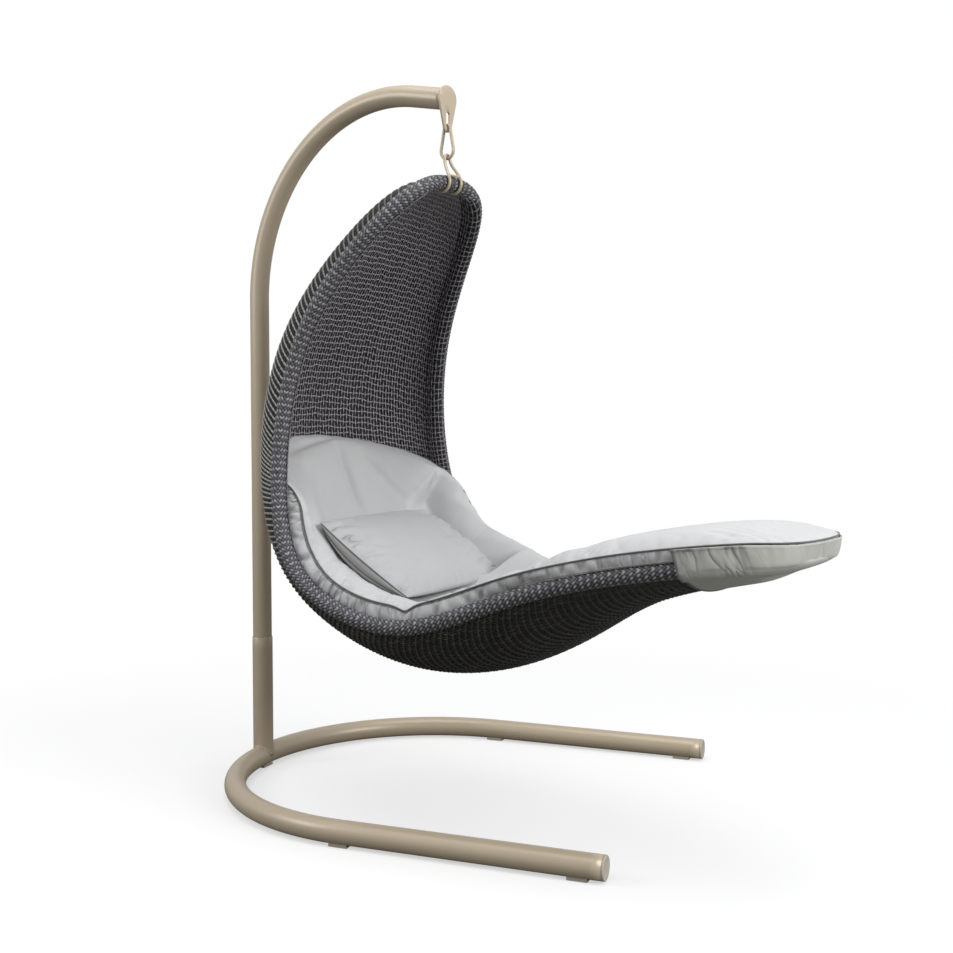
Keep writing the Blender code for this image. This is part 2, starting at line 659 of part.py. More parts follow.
def box(centre, along, length, width, height):
    """A block standing on the floor, its length along a level direction."""
    along = np.array([along[0], along[1], 0.0]) / math.hypot(along[0], along[1])
    beside = np.array([-along[1], along[0], 0.0])
    corners = [(i, j) for i, j in ((-1, -1), (1, -1), (1, 1), (-1, 1))]
    foot = np.array([centre[0], centre[1], 0.0])
    level = [foot + along * (i * length / 2) + beside * (j * width / 2) for i, j in corners]
    points = level + [point + (0.0, 0.0, height) for point in level]
    sides = [[i, (i + 1) % 4, (i + 1) % 4 + 4, i + 4] for i in range(4)]
    return points, [[0, 1, 2, 3], [4, 5, 6, 7]] + sides


def build_base(paint, plastic):
    """The floor base with its glides, end caps and post socket."""
    path = base_path()
    solid("base_tube", pipe(path, BASE_TUBE_RADIUS, BASE_TUBE_WALL, (0, 0, 1)), paint)
    shape = rod(path, BASE_TUBE_RADIUS + GAP, (0, 0, 1), ROUND_SIDES)
    cutter = solid("base_tube_cutter", shape, paint)
    socket_path = np.array([(0.0, 0.0, BASE_HEIGHT), (0.0, 0.0, SOCKET_TOP)])
    socket = solid("post_socket", pipe(socket_path, SOCKET_RADIUS, SOCKET_WALL, (1, 0, 0)), paint)
    cut(socket, cutter)
    stop_top = SOCKET_TOP - ARM_INSERT - GAP
    disc = [(-STOP_THICKNESS, SOCKET_BORE - 2 * GAP), (0.0, SOCKET_BORE - 2 * GAP)]
    solid("socket_stop", turned(disc, (0, 0, stop_top), (0, 0, 1), (1, 0, 0)), paint)
    end = BASE_BEND_RADIUS + BASE_LEG_LENGTH
    bore = BASE_TUBE_RADIUS - BASE_TUBE_WALL - 2 * GAP
    cap = [
        (-CAP_PLUG_LENGTH, bore),
        (GAP, bore),
        (GAP, BASE_TUBE_RADIUS),
        (CAP_FLANGE - CAP_ROUNDING, BASE_TUBE_RADIUS),
        (CAP_FLANGE, BASE_TUBE_RADIUS - CAP_ROUNDING),
    ]
    near_end = end - GLIDE_SETBACK
    for side, sign in (("left", 1), ("right", -1)):
        place = (end, sign * BASE_BEND_RADIUS, BASE_HEIGHT)
        solid(f"base_cap_{side}", turned(cap, place, (1, 0, 0), (0, 0, 1)), plastic)
    glides = (
        ("glide_rear", (0.0, 0.0), (0, 1)),
        ("glide_left", (BASE_BEND_RADIUS, BASE_BEND_RADIUS), (1, 0)),
        ("glide_right", (BASE_BEND_RADIUS, -BASE_BEND_RADIUS), (1, 0)),
        ("glide_front_left", (near_end, BASE_BEND_RADIUS), (1, 0)),
        ("glide_front_right", (near_end, -BASE_BEND_RADIUS), (1, 0)),
    )
    for name, centre, along in glides:
        block = box(centre, along, GLIDE_LENGTH, GLIDE_WIDTH, GLIDE_HEIGHT + GLIDE_GRIP)
        cut(solid(name, block, plastic, smooth=False), cutter)


def build_arm(paint):
    """The arm, its end plate, the link and the hanger. Gives back the empty that the shell hangs on."""
    turning = axis("arm_turn_axis", (0, 0, 0), turn=ARM_TURN)
    path = arm_path()
    shape = pipe(path, ARM_RADIUS, ARM_WALL, (0, 1, 0), mitre=np.array([1.0, 0.0, 0.0]))
    solid("arm_tube", shape, paint, turning)
    face, height = path[-1][0] + GAP, path[-1][2]
    outline = two_circle_loop(PLATE_DISC_RADIUS, 0.0, PLATE_TAIL_RADIUS, -PLATE_TAIL_DROP, 14)
    shape = prism(outline + (0.0, height), face, face + PLATE_THICKNESS)
    plate = solid("arm_end_plate", shape, paint, turning)
    half_slot = SLOT_WIDTH / 2
    outline = capsule(half_slot, -SLOT_TOP_DROP - half_slot, -SLOT_BOTTOM_DROP + half_slot, 8)
    shape = prism(outline + (0.0, height), face - PLATE_THICKNESS, face + 2 * PLATE_THICKNESS)
    cut(plate, solid("slot_cutter", shape, paint, turning))

    reach = face + PLATE_THICKNESS / 2
    bar_top = height - SLOT_BOTTOM_DROP
    inside = LINK_NARROW - LINK_WIRE
    half_bar = PLATE_THICKNESS / 2 + GAP
    link_height = bar_top + GAP + LINK_NARROW - math.sqrt(inside**2 - half_bar**2)
    swaying = axis("link_sway_axis", (reach, 0, link_height), turning)
    loop = two_circle_loop(LINK_NARROW, -LINK_NARROW, LINK_WIDE, LINK_WIDE - LINK_DROP, 13)
    loop = np.column_stack([loop[:, 0], np.zeros(len(loop)), loop[:, 1]])
    solid("chain_link", rod(loop, LINK_WIRE, (0, 1, 0), closed=True), paint, swaying)

    apex = -LINK_DROP + LINK_WIRE + HANGER_ROD + 2 * GAP
    twisting = axis("hanger_turn_axis", (0, 0, apex), swaying)
    half = hanger_half((HANG_AHEAD, -HANGER_DROP))
    whole = np.concatenate([half[:0:-1] * (1, -1, 1), half])
    solid("hanger_rod", rod(whole, HANGER_ROD, (1, 0, 0)), paint, twisting)
    beside = half[CROSSBAR_POINT]
    length = beside[1] - 1.1 * HANGER_ROD - CROSSBAR_RADIUS / 3
    bar = np.array([(beside[0], -length, beside[2]), (beside[0], length, beside[2])])
    solid("hanger_crossbar", rod(bar, CROSSBAR_RADIUS, (1, 0, 0)), paint, twisting)
    return axis("chair_swing_axis", (HANG_AHEAD, 0, -HANGER_DROP), twisting)


def build_chair(swinging):
    """The woven shell on its frame, with the pad, the foot pocket and the pillow."""
    metal = material("frame_aluminium", (0.62, 0.62, 0.62), 0.45, 1.0)
    weave = material("dark_weave", (0.045, 0.043, 0.047), 0.6)
    wrapping = material("rim_weave", (0.13, 0.125, 0.14), 0.6)
    fabric = material("pale_fabric", (0.52, 0.51, 0.50), 0.9)

    round_rim = SHELL.rim(np.linspace(0.0, 0.6, 601))
    hooked = round_rim[np.argmin(np.abs(round_rim[:, 1] - HOOK_SPREAD))] * (1, 0, 1)

    def hung(name, shape, finish):
        points, faces = shape
        return solid(name, (np.asarray(points) - hooked, faces), finish, swinging)

    around = rim_stations()
    hung("frame_rim_bar", rod(SHELL.rim(around), RIM_BAR, (0, 0, 1), 6, closed=True), metal)
    middle = len(SKIN_COLUMNS) // 2
    hung("frame_spine", rod(SKIN_PLACE[:-1, middle], FRAME_ROD, (0, 1, 0), 6), metal)
    for number, station in enumerate(RIB_STATIONS, 1):
        row = int(np.argmin(np.abs(SKIN_ROWS - station)))
        for side, sign in (("left", 1), ("right", -1)):
            path = half_rib(row, sign)
            hung(f"frame_rib_{side}_{number}", rod(path, FRAME_ROD, (1, 0, 0.3), 6), metal)
    hung("woven_skin_inner", skin(-SHELL_HALF, -CAVITY_HALF), weave)
    hung("woven_skin_outer", skin(CAVITY_HALF, SHELL_HALF), weave)
    hung("rim_wrap", wrap_shape(around), wrapping)

    top, under, stations, across = pad_grids(27, 21)
    hung("seat_pad", between(top, under), fabric)
    hung("foot_pocket", pocket_shape(stations[:, -1], 13), fabric)
    hung("lumbar_pillow", pillow_shape(top, stations, across), fabric)


def main():
    clear_scene()
    paint = material("champagne_paint", (0.56, 0.50, 0.42), 0.4)
    plastic = material("glide_plastic", (0.45, 0.42, 0.37), 0.6)
    build_base(paint, plastic)
    build_chair(build_arm(paint))


main()
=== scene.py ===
"""Hanging lounge chair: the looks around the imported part. The stand's tubes are swept profiles, the
shell is woven strand by strand, the rim is a braided sleeve, and the pad and pillow are swollen by a
cloth simulation. Metres, +Z up, the origin on the floor under the post."""

import math

import bmesh
import bpy
import numpy as np
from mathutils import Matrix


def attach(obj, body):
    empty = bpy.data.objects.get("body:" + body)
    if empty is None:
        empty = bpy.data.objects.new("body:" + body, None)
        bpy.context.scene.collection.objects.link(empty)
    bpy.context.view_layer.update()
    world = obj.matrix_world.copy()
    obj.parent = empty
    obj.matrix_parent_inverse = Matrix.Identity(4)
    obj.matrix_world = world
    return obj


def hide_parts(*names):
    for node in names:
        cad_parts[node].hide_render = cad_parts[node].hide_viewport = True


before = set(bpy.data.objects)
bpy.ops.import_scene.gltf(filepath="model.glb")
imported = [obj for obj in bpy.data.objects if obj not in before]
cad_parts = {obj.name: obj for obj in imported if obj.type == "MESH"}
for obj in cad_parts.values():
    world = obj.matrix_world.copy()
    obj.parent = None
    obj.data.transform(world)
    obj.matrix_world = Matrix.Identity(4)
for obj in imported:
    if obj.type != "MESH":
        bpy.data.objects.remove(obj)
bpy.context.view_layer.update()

# Sizes of the part, as its source has them
GAP = 0.0003
SOFT_GAP = 0.0006
SLIP_CLEARANCE = 0.0006
BASE_TUBE_RADIUS = 0.030
BASE_TUBE_WALL = 0.002
BASE_BEND_RADIUS = 0.5475
BASE_LEG_LENGTH = 0.675
GLIDE_HEIGHT = 0.004
CAP_FLANGE = 0.006
CAP_ROUNDING = 0.0025
CAP_PLUG_LENGTH = 0.022
ARM_RADIUS = 0.028
ARM_WALL = 0.0025
SOCKET_WALL = 0.0014
SOCKET_TOP = 0.395
ARM_INSERT = 0.250
ARM_BEND_START = 1.4015
ARM_BEND_RADIUS = 0.515
ARM_BEND = math.radians(102)
ARM_END_RUN = 0.116
ARM_TURN = math.radians(-18)
PLATE_THICKNESS = 0.006
PLATE_DISC_RADIUS = 0.034
PLATE_TAIL_RADIUS = 0.015
PLATE_TAIL_DROP = 0.071
SLOT_WIDTH = 0.014
SLOT_TOP_DROP = 0.034
SLOT_BOTTOM_DROP = 0.073
LINK_WIRE = 0.00425
LINK_NARROW = 0.010
LINK_WIDE = 0.0208
LINK_DROP = 0.0855
HANGER_ROD = 0.004
HANGER_APEX = 0.0105
HANGER_DROP = 0.073
HOOK_SPREAD = 0.0225
HOOK_CLEARANCE = 0.0012
HOOK_SEAT = 0.0005
HOOK_START = math.radians(20)
HOOK_END = math.radians(-115)
CROSSBAR_RADIUS = 0.003
HANG_AHEAD = 0.004
SHELL_STATIONS = (
    (0.000, 0.000, 0.000, 0.000, 0.000),
    (-0.015, -0.040, 0.125, -0.135, -0.020),
    (-0.135, -0.185, 0.215, -0.320, -0.180),
    (-0.265, -0.410, 0.275, -0.480, -0.410),
    (-0.305, -0.690, 0.315, -0.525, -0.695),
    (-0.240, -0.938, 0.355, -0.413, -0.955),
    (-0.062, -1.065, 0.375, -0.186, -1.148),
    (0.166, -1.098, 0.350, 0.072, -1.246),
    (0.408, -1.021, 0.305, 0.335, -1.185),
    (0.676, -0.947, 0.245, 0.620, -1.030),
    (0.960, -0.905, 0.165, 0.945, -0.940),
    (1.005, -0.905, 0.000, 1.005, -0.905),
)
FOOT = len(SHELL_STATIONS) - 1
FLATTER_FROM, FLATTER_TO = 8.0, 9.6
WEAVE_THICKNESS = 0.005
FRAME_ROD = 0.003
WRAP_RADIUS = 0.019
SKIN_INSET = 0.0105
PAD_TOP_CENTRE = 3.92
PAD_TOP_EDGE = 4.70
PAD_TOP_ARCH = 2.0
PAD_END = 10.95
PAD_THICKNESS = 0.062
PAD_EDGE_RISE = 0.050
PAD_EDGE_INSET = 0.0225
PAD_FOOT_OVERHANG = 0.008
PAD_RIM_CLEARANCE = 0.0065
PAD_EDGE_INSIDE = math.radians(200)
PAD_EDGE_OVER = math.radians(68)
POCKET_START = 9.35
POCKET_THICKNESS = 0.003
POCKET_CLEARANCE = 0.0024

SHELL_HALF = WEAVE_THICKNESS + FRAME_ROD + GAP + SOFT_GAP / 2
CAVITY_HALF = SHELL_HALF - WEAVE_THICKNESS
BASE_HEIGHT = GLIDE_HEIGHT + BASE_TUBE_RADIUS
SOCKET_BORE = ARM_RADIUS + SLIP_CLEARANCE
SOCKET_RADIUS = SOCKET_BORE + SOCKET_WALL

# Sizes of what only the looks have, first of the stand
ROUND = 56
ROD_ROUND = 16
EDGE_EASE = 0.0006
WELD_FLARE = 0.0030
WELD_HEIGHT = 0.007
SOCKET_LIP = 0.0008

# Depths and radii of the hollow in a cap's face
CAP_HOLLOW = ((0.0, 0.022), (0.0008, 0.019), (0.0012, 0.010), (0.0012, 0.0))

# The hanger's leg: how far its curve's handles lie from its ends, and the point that the crossbar meets
LEG_HANDLES = (0.016, 0.022)
STAY_AT = 23

# The weave: heights are of the strands and the ground over the shell's middle, and of the strands' wave
WEFT_PITCH = 0.0180
STAKES = 80
STRAND_SIDES = 5
INNER_WAVE = 0.0010
INNER_HEIGHTS = (0.0081, 0.0071, INNER_WAVE)
OUTER_HEIGHTS = (0.0066, 0.0058, 0.0003)
GROUND_ROWS, GROUND_COLUMNS, GROUND_LAP_COLUMNS = 170, 61, 12
WEFT_RAISED, STAKE_SUNK = 0.0010, 0.0008
WEAVE_START, INNER_END, WEAVE_END = 0.10, 5.6, 9.85
WEAVE_MEASURED_AT = 0.55
LAP_FROM = 0.042
HOOK_ROOM = 0.0080
LAP_RADIUS = WRAP_RADIUS + 0.0042
LAP_END_FAR, LAP_END_NEAR = math.radians(75), math.radians(128)
LAP_STAKES = 7
LAP_TUCK = 0.0065
WEFT_SAG = 0.22
OUTER_SLANT = 1.8
UNDER_WAVE = 0.0008
WEFT_WIDE, WEFT_THICK = 0.0022, 0.0015
STAKE_WIDE, STAKE_THICK = 0.0019, 0.0014
OUTER_WEFT_WIDE = 1.35 * WEFT_WIDE
# Share by which the strands' painted highlight gives way to painted shade next to the rim
RIM_SHADE = 0.30
GROUND_THREADS = 110.0

# How far inner strands stray, as shares of the way to the next strand
WEFT_WANDER, STAKE_WANDER = 0.011 / 0.06, 0.13

# The rim's braid
BRAID_PITCH = 0.0112
BRAID_STRANDS = 12
BRAID_END = 10.25
BRAID_RIDGE = math.radians(40)
BRAID_STEP = 0.00178
BRAID_GROOVE = 0.0036
BRAID_PROUD = 0.0006
BRAID_SEEN = (math.radians(-50), math.radians(230))
BRAID_HIDDEN = (math.radians(230), math.radians(310))

# The pad, whose edges and creases are given in stations and shares across
SWELL_FRAMES = 20
PIPING_RADIUS = 0.0020
PIPING_OUT = 0.0012
PAD_ROWS, PAD_COLUMNS, PAD_BAND_ROWS = 400, 81, 9
PAD_SEAT_EXTRA = 0.060
PAD_TOP_SINK = 0.004
PAD_BACK_INSET = 0.010
PAD_LID_DROP = 0.0062
PAD_FLOOR_CLEARANCE = 0.0022
PAD_FLOOR_DROP = 0.0038
PAD_BAND_BULGE = 0.20
PAD_FLOOR_TO_RIM, PAD_FLOOR_SHARE = 0.034, 0.86
PAD_TOP_ROUNDING, PAD_TOP_THICKNESS = 0.36, 0.16
PAD_ARCH_TOP, PAD_NEAR_EDGE, PAD_NEAR_CORNER = 3.88, 4.08, 0.22
PAD_FAR_EDGE, PAD_FAR_ARCH = 4.25, 1.7
PAD_FAR_OUT, PAD_FAR_LIFT, PAD_FAR_PUFF = 0.042, 0.006, 0.036
PAD_PUFF = 0.022
PAD_LEG_CROWN = 0.028
PAD_GATHER = 0.0080
BAND_GATHER = 0.0130
PAD_CREASES = (
    (((3.93, 0.13), (4.27, 0.12), (4.66, 0.05)), 0.013, 0.016),
    (((4.02, 0.30), (4.20, 0.42), (4.30, 0.47)), 0.012, 0.005),
)
PINCH_AT = 6.97
PINCH_WIDTH = 0.10
PINCH_DROP = 0.018
STATION_LENGTH, PAD_HALF_WIDTH = 0.27, 0.33

# The pillow, measured from the rim's tip
PILLOW_CENTRE = (-0.136, 0.023, -0.966)
PILLOW_SLOPE = math.radians(34)
PILLOW_TURN = math.radians(11.5)
PILLOW_WIDTH = 0.53
PILLOW_LENGTH = 0.324
PILLOW_SWELL = 0.034
PILLOW_GUSSET = 0.024
PILLOW_SINK = 0.042
PILLOW_CLEARANCE = 0.004
PILLOW_GATHER = 0.0085
PILLOW_BOW = 0.010
PILLOW_BULGE = 0.004
PILLOW_ROWS, PILLOW_COLUMNS, PILLOW_BAND_ROWS = 67, 101, 6

# The foot sleeve
SLEEVE_GATHER = 0.0110
SLEEVE_RAKE = 0.085
SLEEVE_ROWS = 90
SLEEVE_SPAN = math.radians(80)
SLEEVE_HEM = POCKET_START + 0.14
SLEEVE_HEM_LEAN = 0.016

# The floor and the camera, which are fitted to the photo
FLOOR_CENTRE, FLOOR_RADIUS, FLOOR_SIDES = (0.6, 0.0), 14.0, 64
FLOOR_SPOT, FLOOR_FADES = (0.7, -0.1, 0.0), (1.0, 2.6)
CAMERA_PLACE = (1.9954, -3.3033, 1.0774)
CAMERA_TURN = (math.radians(87.0), 0.0, math.radians(21.5))
CAMERA_SENSOR, CAMERA_LENS = 36.0, 48.0

# Scale of the waves that stand for the cloth's threads, about 0.65 mm apart
THREADS = 480.0

# Folds at the seams: their pitch along the seam, their width and how far they reach
PAD_SIDE_FOLDS = (0.036, 0.0065, 0.060)
PAD_TOP_FOLDS = (0.060, 0.009, 0.060)
BAND_FOLDS_DOWN = (0.027, 0.0048, 0.060)
BAND_FOLDS_UP = (0.034, 0.0055, 0.035)
PILLOW_END_FOLDS = (0.034, 0.0060, 0.075)
PILLOW_SIDE_FOLDS = (0.046, 0.0070, 0.055)
SLEEVE_FOLDS = (0.024, 0.0050, 0.040)

# Stretches of the shell, in stations from the hood's tip, over which something starts or ends
HOOKS_CLEAR = (0.40, 1.0)
LAP_TURNS = (0.25, 0.7)
HOOD_STARTS = (0.1, 0.9)
HOOD_ENDS = (3.4, 4.7)
HOOD_SHADED = (1.2, 3.2)
UNDERSIDE = (4.7, 5.9)
PAD_RISES = (PAD_TOP_EDGE - 0.85, PAD_TOP_EDGE - 0.1)
PAD_CLIMBS = (7.5, 8.8)
FAR_LAP_STARTS = (3.55, 5.0)
FAR_LAP_ENDS = (7.0, 8.4)
BACK_ENDS = (5.2, 6.0)
SEAT_FILLS = (PAD_TOP_CENTRE, 5.0)
SEAT_THINS = (6.6, 8.0)
DISH_ENDS = (7.4, 8.7)
CROWN_STARTS = (7.7, 8.8)
CROWN_ENDS = (9.3, 10.7)
PUFF_EASES = (7.5, 9.0)
PUFF_ENDS = (9.5, 10.8)
INNER_LAP_ENDS = (5.6, 6.4)
LID_STARTS = (8.3, 9.2)
LEGS_TAUT = (8.8, 9.8)
LEGS_CALM = (8.4, 9.4)
SLEEVE_SMOOTHS = (9.8, 10.4)
SLEEVE_RAKES = (9.8, 10.6)
SLEEVE_SLIMS = (10.25, 10.9)

# Stretches of the way across
AT_RIM = (0.97, 1.10)
LAP_TUCKS = (0.78, 1.0)
NEAR_CORNER = (0.15, 0.60)


def unit(v):
    """Vectors at length one."""
    return v / np.linalg.norm(v, axis=-1, keepdims=True)


def step_up(value, start, end):
    """A smooth rise from 0 to 1: 3t^2 - 2t^3 of the clipped share of the way."""
    t = np.clip((np.asarray(value, float) - start) / (end - start), 0.0, 1.0)
    return t * t * (3 - 2 * t)


def hashed(number, seed=0.0):
    """Even random-looking shares of 0 to 1 from whole numbers: the fraction of a large sine."""
    value = np.sin(np.asarray(number, float) * 12.9898 + seed * 78.233) * 43758.5453
    return value - np.floor(value)


def ripple(x, seed, waves=5, low=1.0):
    """Smooth noise along a line: the sum of sines of rising pitch with fixed phases, over about -1 to 1."""
    total = np.zeros_like(np.asarray(x, float))
    for k in range(waves):
        pitch = low * 1.7**k * (0.8 + 0.4 * hashed(k, seed))
        total = total + np.sin(x * pitch + 6.283 * hashed(k + 17, seed)) / (1 + 0.6 * k)
    return total / 1.8


def gathers(run, away, pitch, wide, reach, seed):
    """Valleys that start at a seam, about one every pitch along it, each with its own place, lean, depth
    and reach: depth * exp(-((run - place - lean * away) / wide)^2 - away / reach), summed over the three
    nearest."""
    total = np.zeros(np.broadcast(run, away).shape)
    for step in (-1, 0, 1):
        number = np.floor(run / pitch) + step
        place = (number + 0.5 + 0.9 * (hashed(number, seed) - 0.5)) * pitch
        lean = 1.4 * (hashed(number, seed + 1) - 0.5)
        spread = wide * (0.6 + 0.9 * hashed(number, seed + 2)) + 0.10 * away
        far = reach * (0.35 + 1.3 * hashed(number, seed + 3))
        deep = 0.20 + 0.80 * hashed(number, seed + 4)
        total = total + deep * np.exp(-(((run - place - lean * away) / spread) ** 2) - away / far)
    return total


def arc(radius, start, end, count, centre=(0.0, 0.0)):
    """Points of an arc in a plane."""
    angle = np.linspace(start, end, count)
    return np.asarray(centre) + radius * np.stack([np.cos(angle), np.sin(angle)], -1)


def two_circle_loop(upper_radius, upper, lower_radius, lower, count):
    """Outline round two circles on one upright line, joined by their outer tangents."""
    lean = math.asin((lower_radius - upper_radius) / (upper - lower))
    return np.concatenate([
        arc(upper_radius, lean, math.pi - lean, count, (0.0, upper)),
        arc(lower_radius, math.pi - lean, 2 * math.pi + lean, count, (0.0, lower)),
    ])


def turned_about_z(points, angle):
    """Points turned about the upright axis."""
    c, s = math.cos(angle), math.sin(angle)
    x, y = points[..., 0], points[..., 1]
    return np.stack([c * x - s * y, s * x + c * y, points[..., 2]], -1)


# Shader maths


def arithmetic(operation, turned=False):
    """A method that puts two values through a Math node, in turned order for a value on the right."""

    def method(self, other):
        return self.nodes.maths(operation, *((other, self) if turned else (self, other)))

    return method


class Value:
    """A socket of a tree of nodes. Arithmetic on it adds Math nodes."""

    def __init__(self, nodes, socket):
        self.nodes, self.socket = nodes, socket

    __add__, __radd__ = arithmetic("ADD"), arithmetic("ADD", True)
    __sub__, __rsub__ = arithmetic("SUBTRACT"), arithmetic("SUBTRACT", True)
    __mul__, __rmul__ = arithmetic("MULTIPLY"), arithmetic("MULTIPLY", True)
    __pow__ = arithmetic("POWER")


class Nodes:
    """A tree of shader nodes."""

    def __init__(self, tree):
        self.tree = tree

    def node(self, kind, settings=None, sockets=None, out=0):
        """Any node: its settings are set first, then its sockets take values or links."""
        made = self.tree.nodes.new("ShaderNode" + kind)
        for name, value in (settings or {}).items():
            setattr(made, name, value)
        for key, value in (sockets or {}).items():
            if isinstance(value, Value):
                self.tree.links.new(value.socket, made.inputs[key])
            else:
                made.inputs[key].default_value = value
        return Value(self, made.outputs[out])

    def maths(self, operation, *terms):
        return self.node("Math", {"operation": operation}, dict(enumerate(terms)))

    def for_camera(self, others, camera):
        """A shader that the camera sees as the second and every other ray as the first."""
        return self.node("MixShader", None, {0: self.node("LightPath"), 1: others, 2: camera})

    def surface(self, output, shader):
        """Link a shader to the tree's output."""
        self.tree.links.new(shader.socket, self.tree.nodes[output].inputs["Surface"])


class Recipe(Nodes):
    """A Principled material in the making. Plain values are set on the shader's own sockets."""

    def __init__(self, name, **plain):
        self.material = bpy.data.materials.new(name)
        self.material.use_nodes = True
        super().__init__(self.material.node_tree)
        self.shader = self.tree.nodes["Principled BSDF"]
        for socket, value in plain.items():
            self.shader.inputs[socket.replace("_", " ")].default_value = value

    def place(self):
        """Object coordinates."""
        return self.node("TexCoord", out=3)

    def attribute(self, name, out=2):
        """An attribute of the mesh: out 2 is its number, 1 its vector."""
        return self.node("Attribute", {"attribute_name": name}, out=out)

    def noise(self, scale, where, detail=2.0, rough=0.5):
        sockets = {"Vector": where, "Scale": scale, "Detail": detail, "Roughness": rough}
        return self.node("TexNoise", None, sockets)

    def blend(self, share, first, second):
        """Colour mixed from first to second by a share."""
        return self.node("Mix", {"data_type": "RGBA"}, {0: share, 6: first, 7: second}, out=2)

    def bands(self, where, way, scale, distortion):
        """Waves of 0 to 1 that follow each other along X or Y."""
        sockets = {"Vector": where, "Scale": scale, "Distortion": distortion, "Detail": 1.0}
        return self.node("TexWave", {"wave_type": "BANDS", "bands_direction": way}, sockets, out=1)

    def smooth(self, value, start, end, low, high):
        """A value's way from start to end as a smooth step from low to high."""
        settings = {"interpolation_type": "SMOOTHSTEP"}
        return self.node("MapRange", settings, {0: value, 1: start, 2: end, 3: low, 4: high})

    def bump(self, height, strength, distance, below=None):
        sockets = {"Strength": strength, "Distance": distance, "Height": height}
        made = self.node("Bump", None, sockets if below is None else {**sockets, "Normal": below})
        self.feed("Normal", made)
        return made

    def feed(self, socket, value):
        self.tree.links.new(value.socket, self.shader.inputs[socket])


def rgb(red, green, blue):
    return (red, green, blue, 1.0)


WHITE = rgb(1.0, 1.0, 1.0)


def champagne_paint():
    """Satin paint: faint cloudiness of tone, an orange-peel skin and a thin clear coat."""
    made = Recipe("champagne_paint", Metallic=0.12, Coat_Weight=0.18, Coat_Roughness=0.25)
    where = made.place()
    cloud = made.noise(3.0, where, 3.0)
    fleck = made.noise(900.0, where, 1.0)
    tone = made.blend(cloud, rgb(0.396, 0.320, 0.222), rgb(0.458, 0.377, 0.268))
    made.feed("Base Color", made.blend(fleck * 0.16, tone, rgb(0.80, 0.75, 0.66)))
    made.feed("Roughness", 0.34 + 0.10 * made.noise(14.0, where, 4.0))
    made.bump(made.noise(420.0, where, 2.0), 0.10, 0.0004)
    return made.material


def moulded_plastic():
    """Moulded plastic with a fine spark texture."""
    made = Recipe("moulded_plastic", Specular_IOR_Level=0.4)
    where = made.place()
    cloud = made.noise(22.0, where, 3.0)
    made.feed("Base Color", made.blend(cloud, rgb(0.40, 0.36, 0.30), rgb(0.47, 0.43, 0.365)))
    made.feed("Roughness", 0.52 + 0.14 * cloud)
    made.bump(made.noise(1300.0, where, 1.0), 0.25, 0.0003)
    return made.material


def bare_aluminium():
    """Drawn aluminium, brushed along no one way and a little dulled."""
    made = Recipe("bare_aluminium", Metallic=1.0)
    where = made.place()
    dull = made.noise(35.0, where, 5.0, 0.6)
    made.feed("Base Color", made.blend(dull, rgb(0.50, 0.50, 0.51), rgb(0.66, 0.66, 0.67)))
    made.feed("Roughness", 0.36 + 0.18 * dull)
    made.bump(made.noise(700.0, where, 2.0), 0.12, 0.0002)
    return made.material


def woven_strand(name, dark, light, painted_highlight):
    """Extruded resin strand: its tone changes from strand to strand, with lengthwise extrusion lines, a
    painted highlight on its crests and painted shade where it dives under another."""
    made = Recipe(name, Specular_IOR_Level=0.45)
    where = made.place()
    tone = made.attribute("tone")
    crest = made.attribute("crest")
    lie = made.attribute("lie", out=1)
    streak = made.noise(1.0, lie, 3.0, 0.6)
    shade = made.blend(tone * 0.6 + streak * 0.4, rgb(*dark), rgb(*light))
    # Painted highlight on the strand's crests
    shade = made.blend(crest ** 2.2 * 0.70, shade, rgb(*painted_highlight))
    # Painted shade where the strand dives under another
    under = 1 - crest
    made.feed("Base Color", made.blend(under * under * 0.75, shade, rgb(*[0.35 * x for x in dark])))
    made.feed("Roughness", 0.40 + 0.22 * streak + 0.08 * made.noise(60.0, where))
    made.bump(streak, 0.35, 0.0005)
    return made.material


def woven_ground(name, dark, light):
    """The close weave behind the strands: a plain weave of thin flat strand, coloured near black as painted
    shade for the gaps between the strands.
    """
    made = Recipe(name, Specular_IOR_Level=0.35)
    lie = made.attribute("lie", out=1)
    height = made.bands(lie, "X", 0.5, 0.0) * made.bands(lie, "Y", 0.5, 0.0)
    made.feed("Base Color", made.blend(height, rgb(*dark), rgb(*light)))
    made.feed("Roughness", 0.62 + 0.15 * made.noise(40.0, made.place(), 3.0))
    made.bump(height, 0.6, 0.0012)
    return made.material


def braided_strand():
    """The rim's braid: flat resin strand in its own tone on the crests, darkened to nearly black in the
    grooves as painted shade.
    """
    made = Recipe("braided_strand", Specular_IOR_Level=0.45)
    where = made.place()
    tone = made.attribute("tone")
    crest = made.attribute("crest")
    grain = made.noise(160.0, where, 4.0, 0.65)
    shade = made.blend(tone * 0.8 + grain * 0.2, rgb(0.024, 0.023, 0.026), rgb(0.44, 0.425, 0.462))
    # Painted shade: nearly black in the grooves, the strand's tone on the crests
    made.feed("Base Color", made.blend(crest ** 2.2, rgb(0.007, 0.007, 0.008), shade))
    made.feed("Roughness", 0.38 + 0.25 * grain)
    made.bump(grain, 0.30, 0.0006)
    return made.material


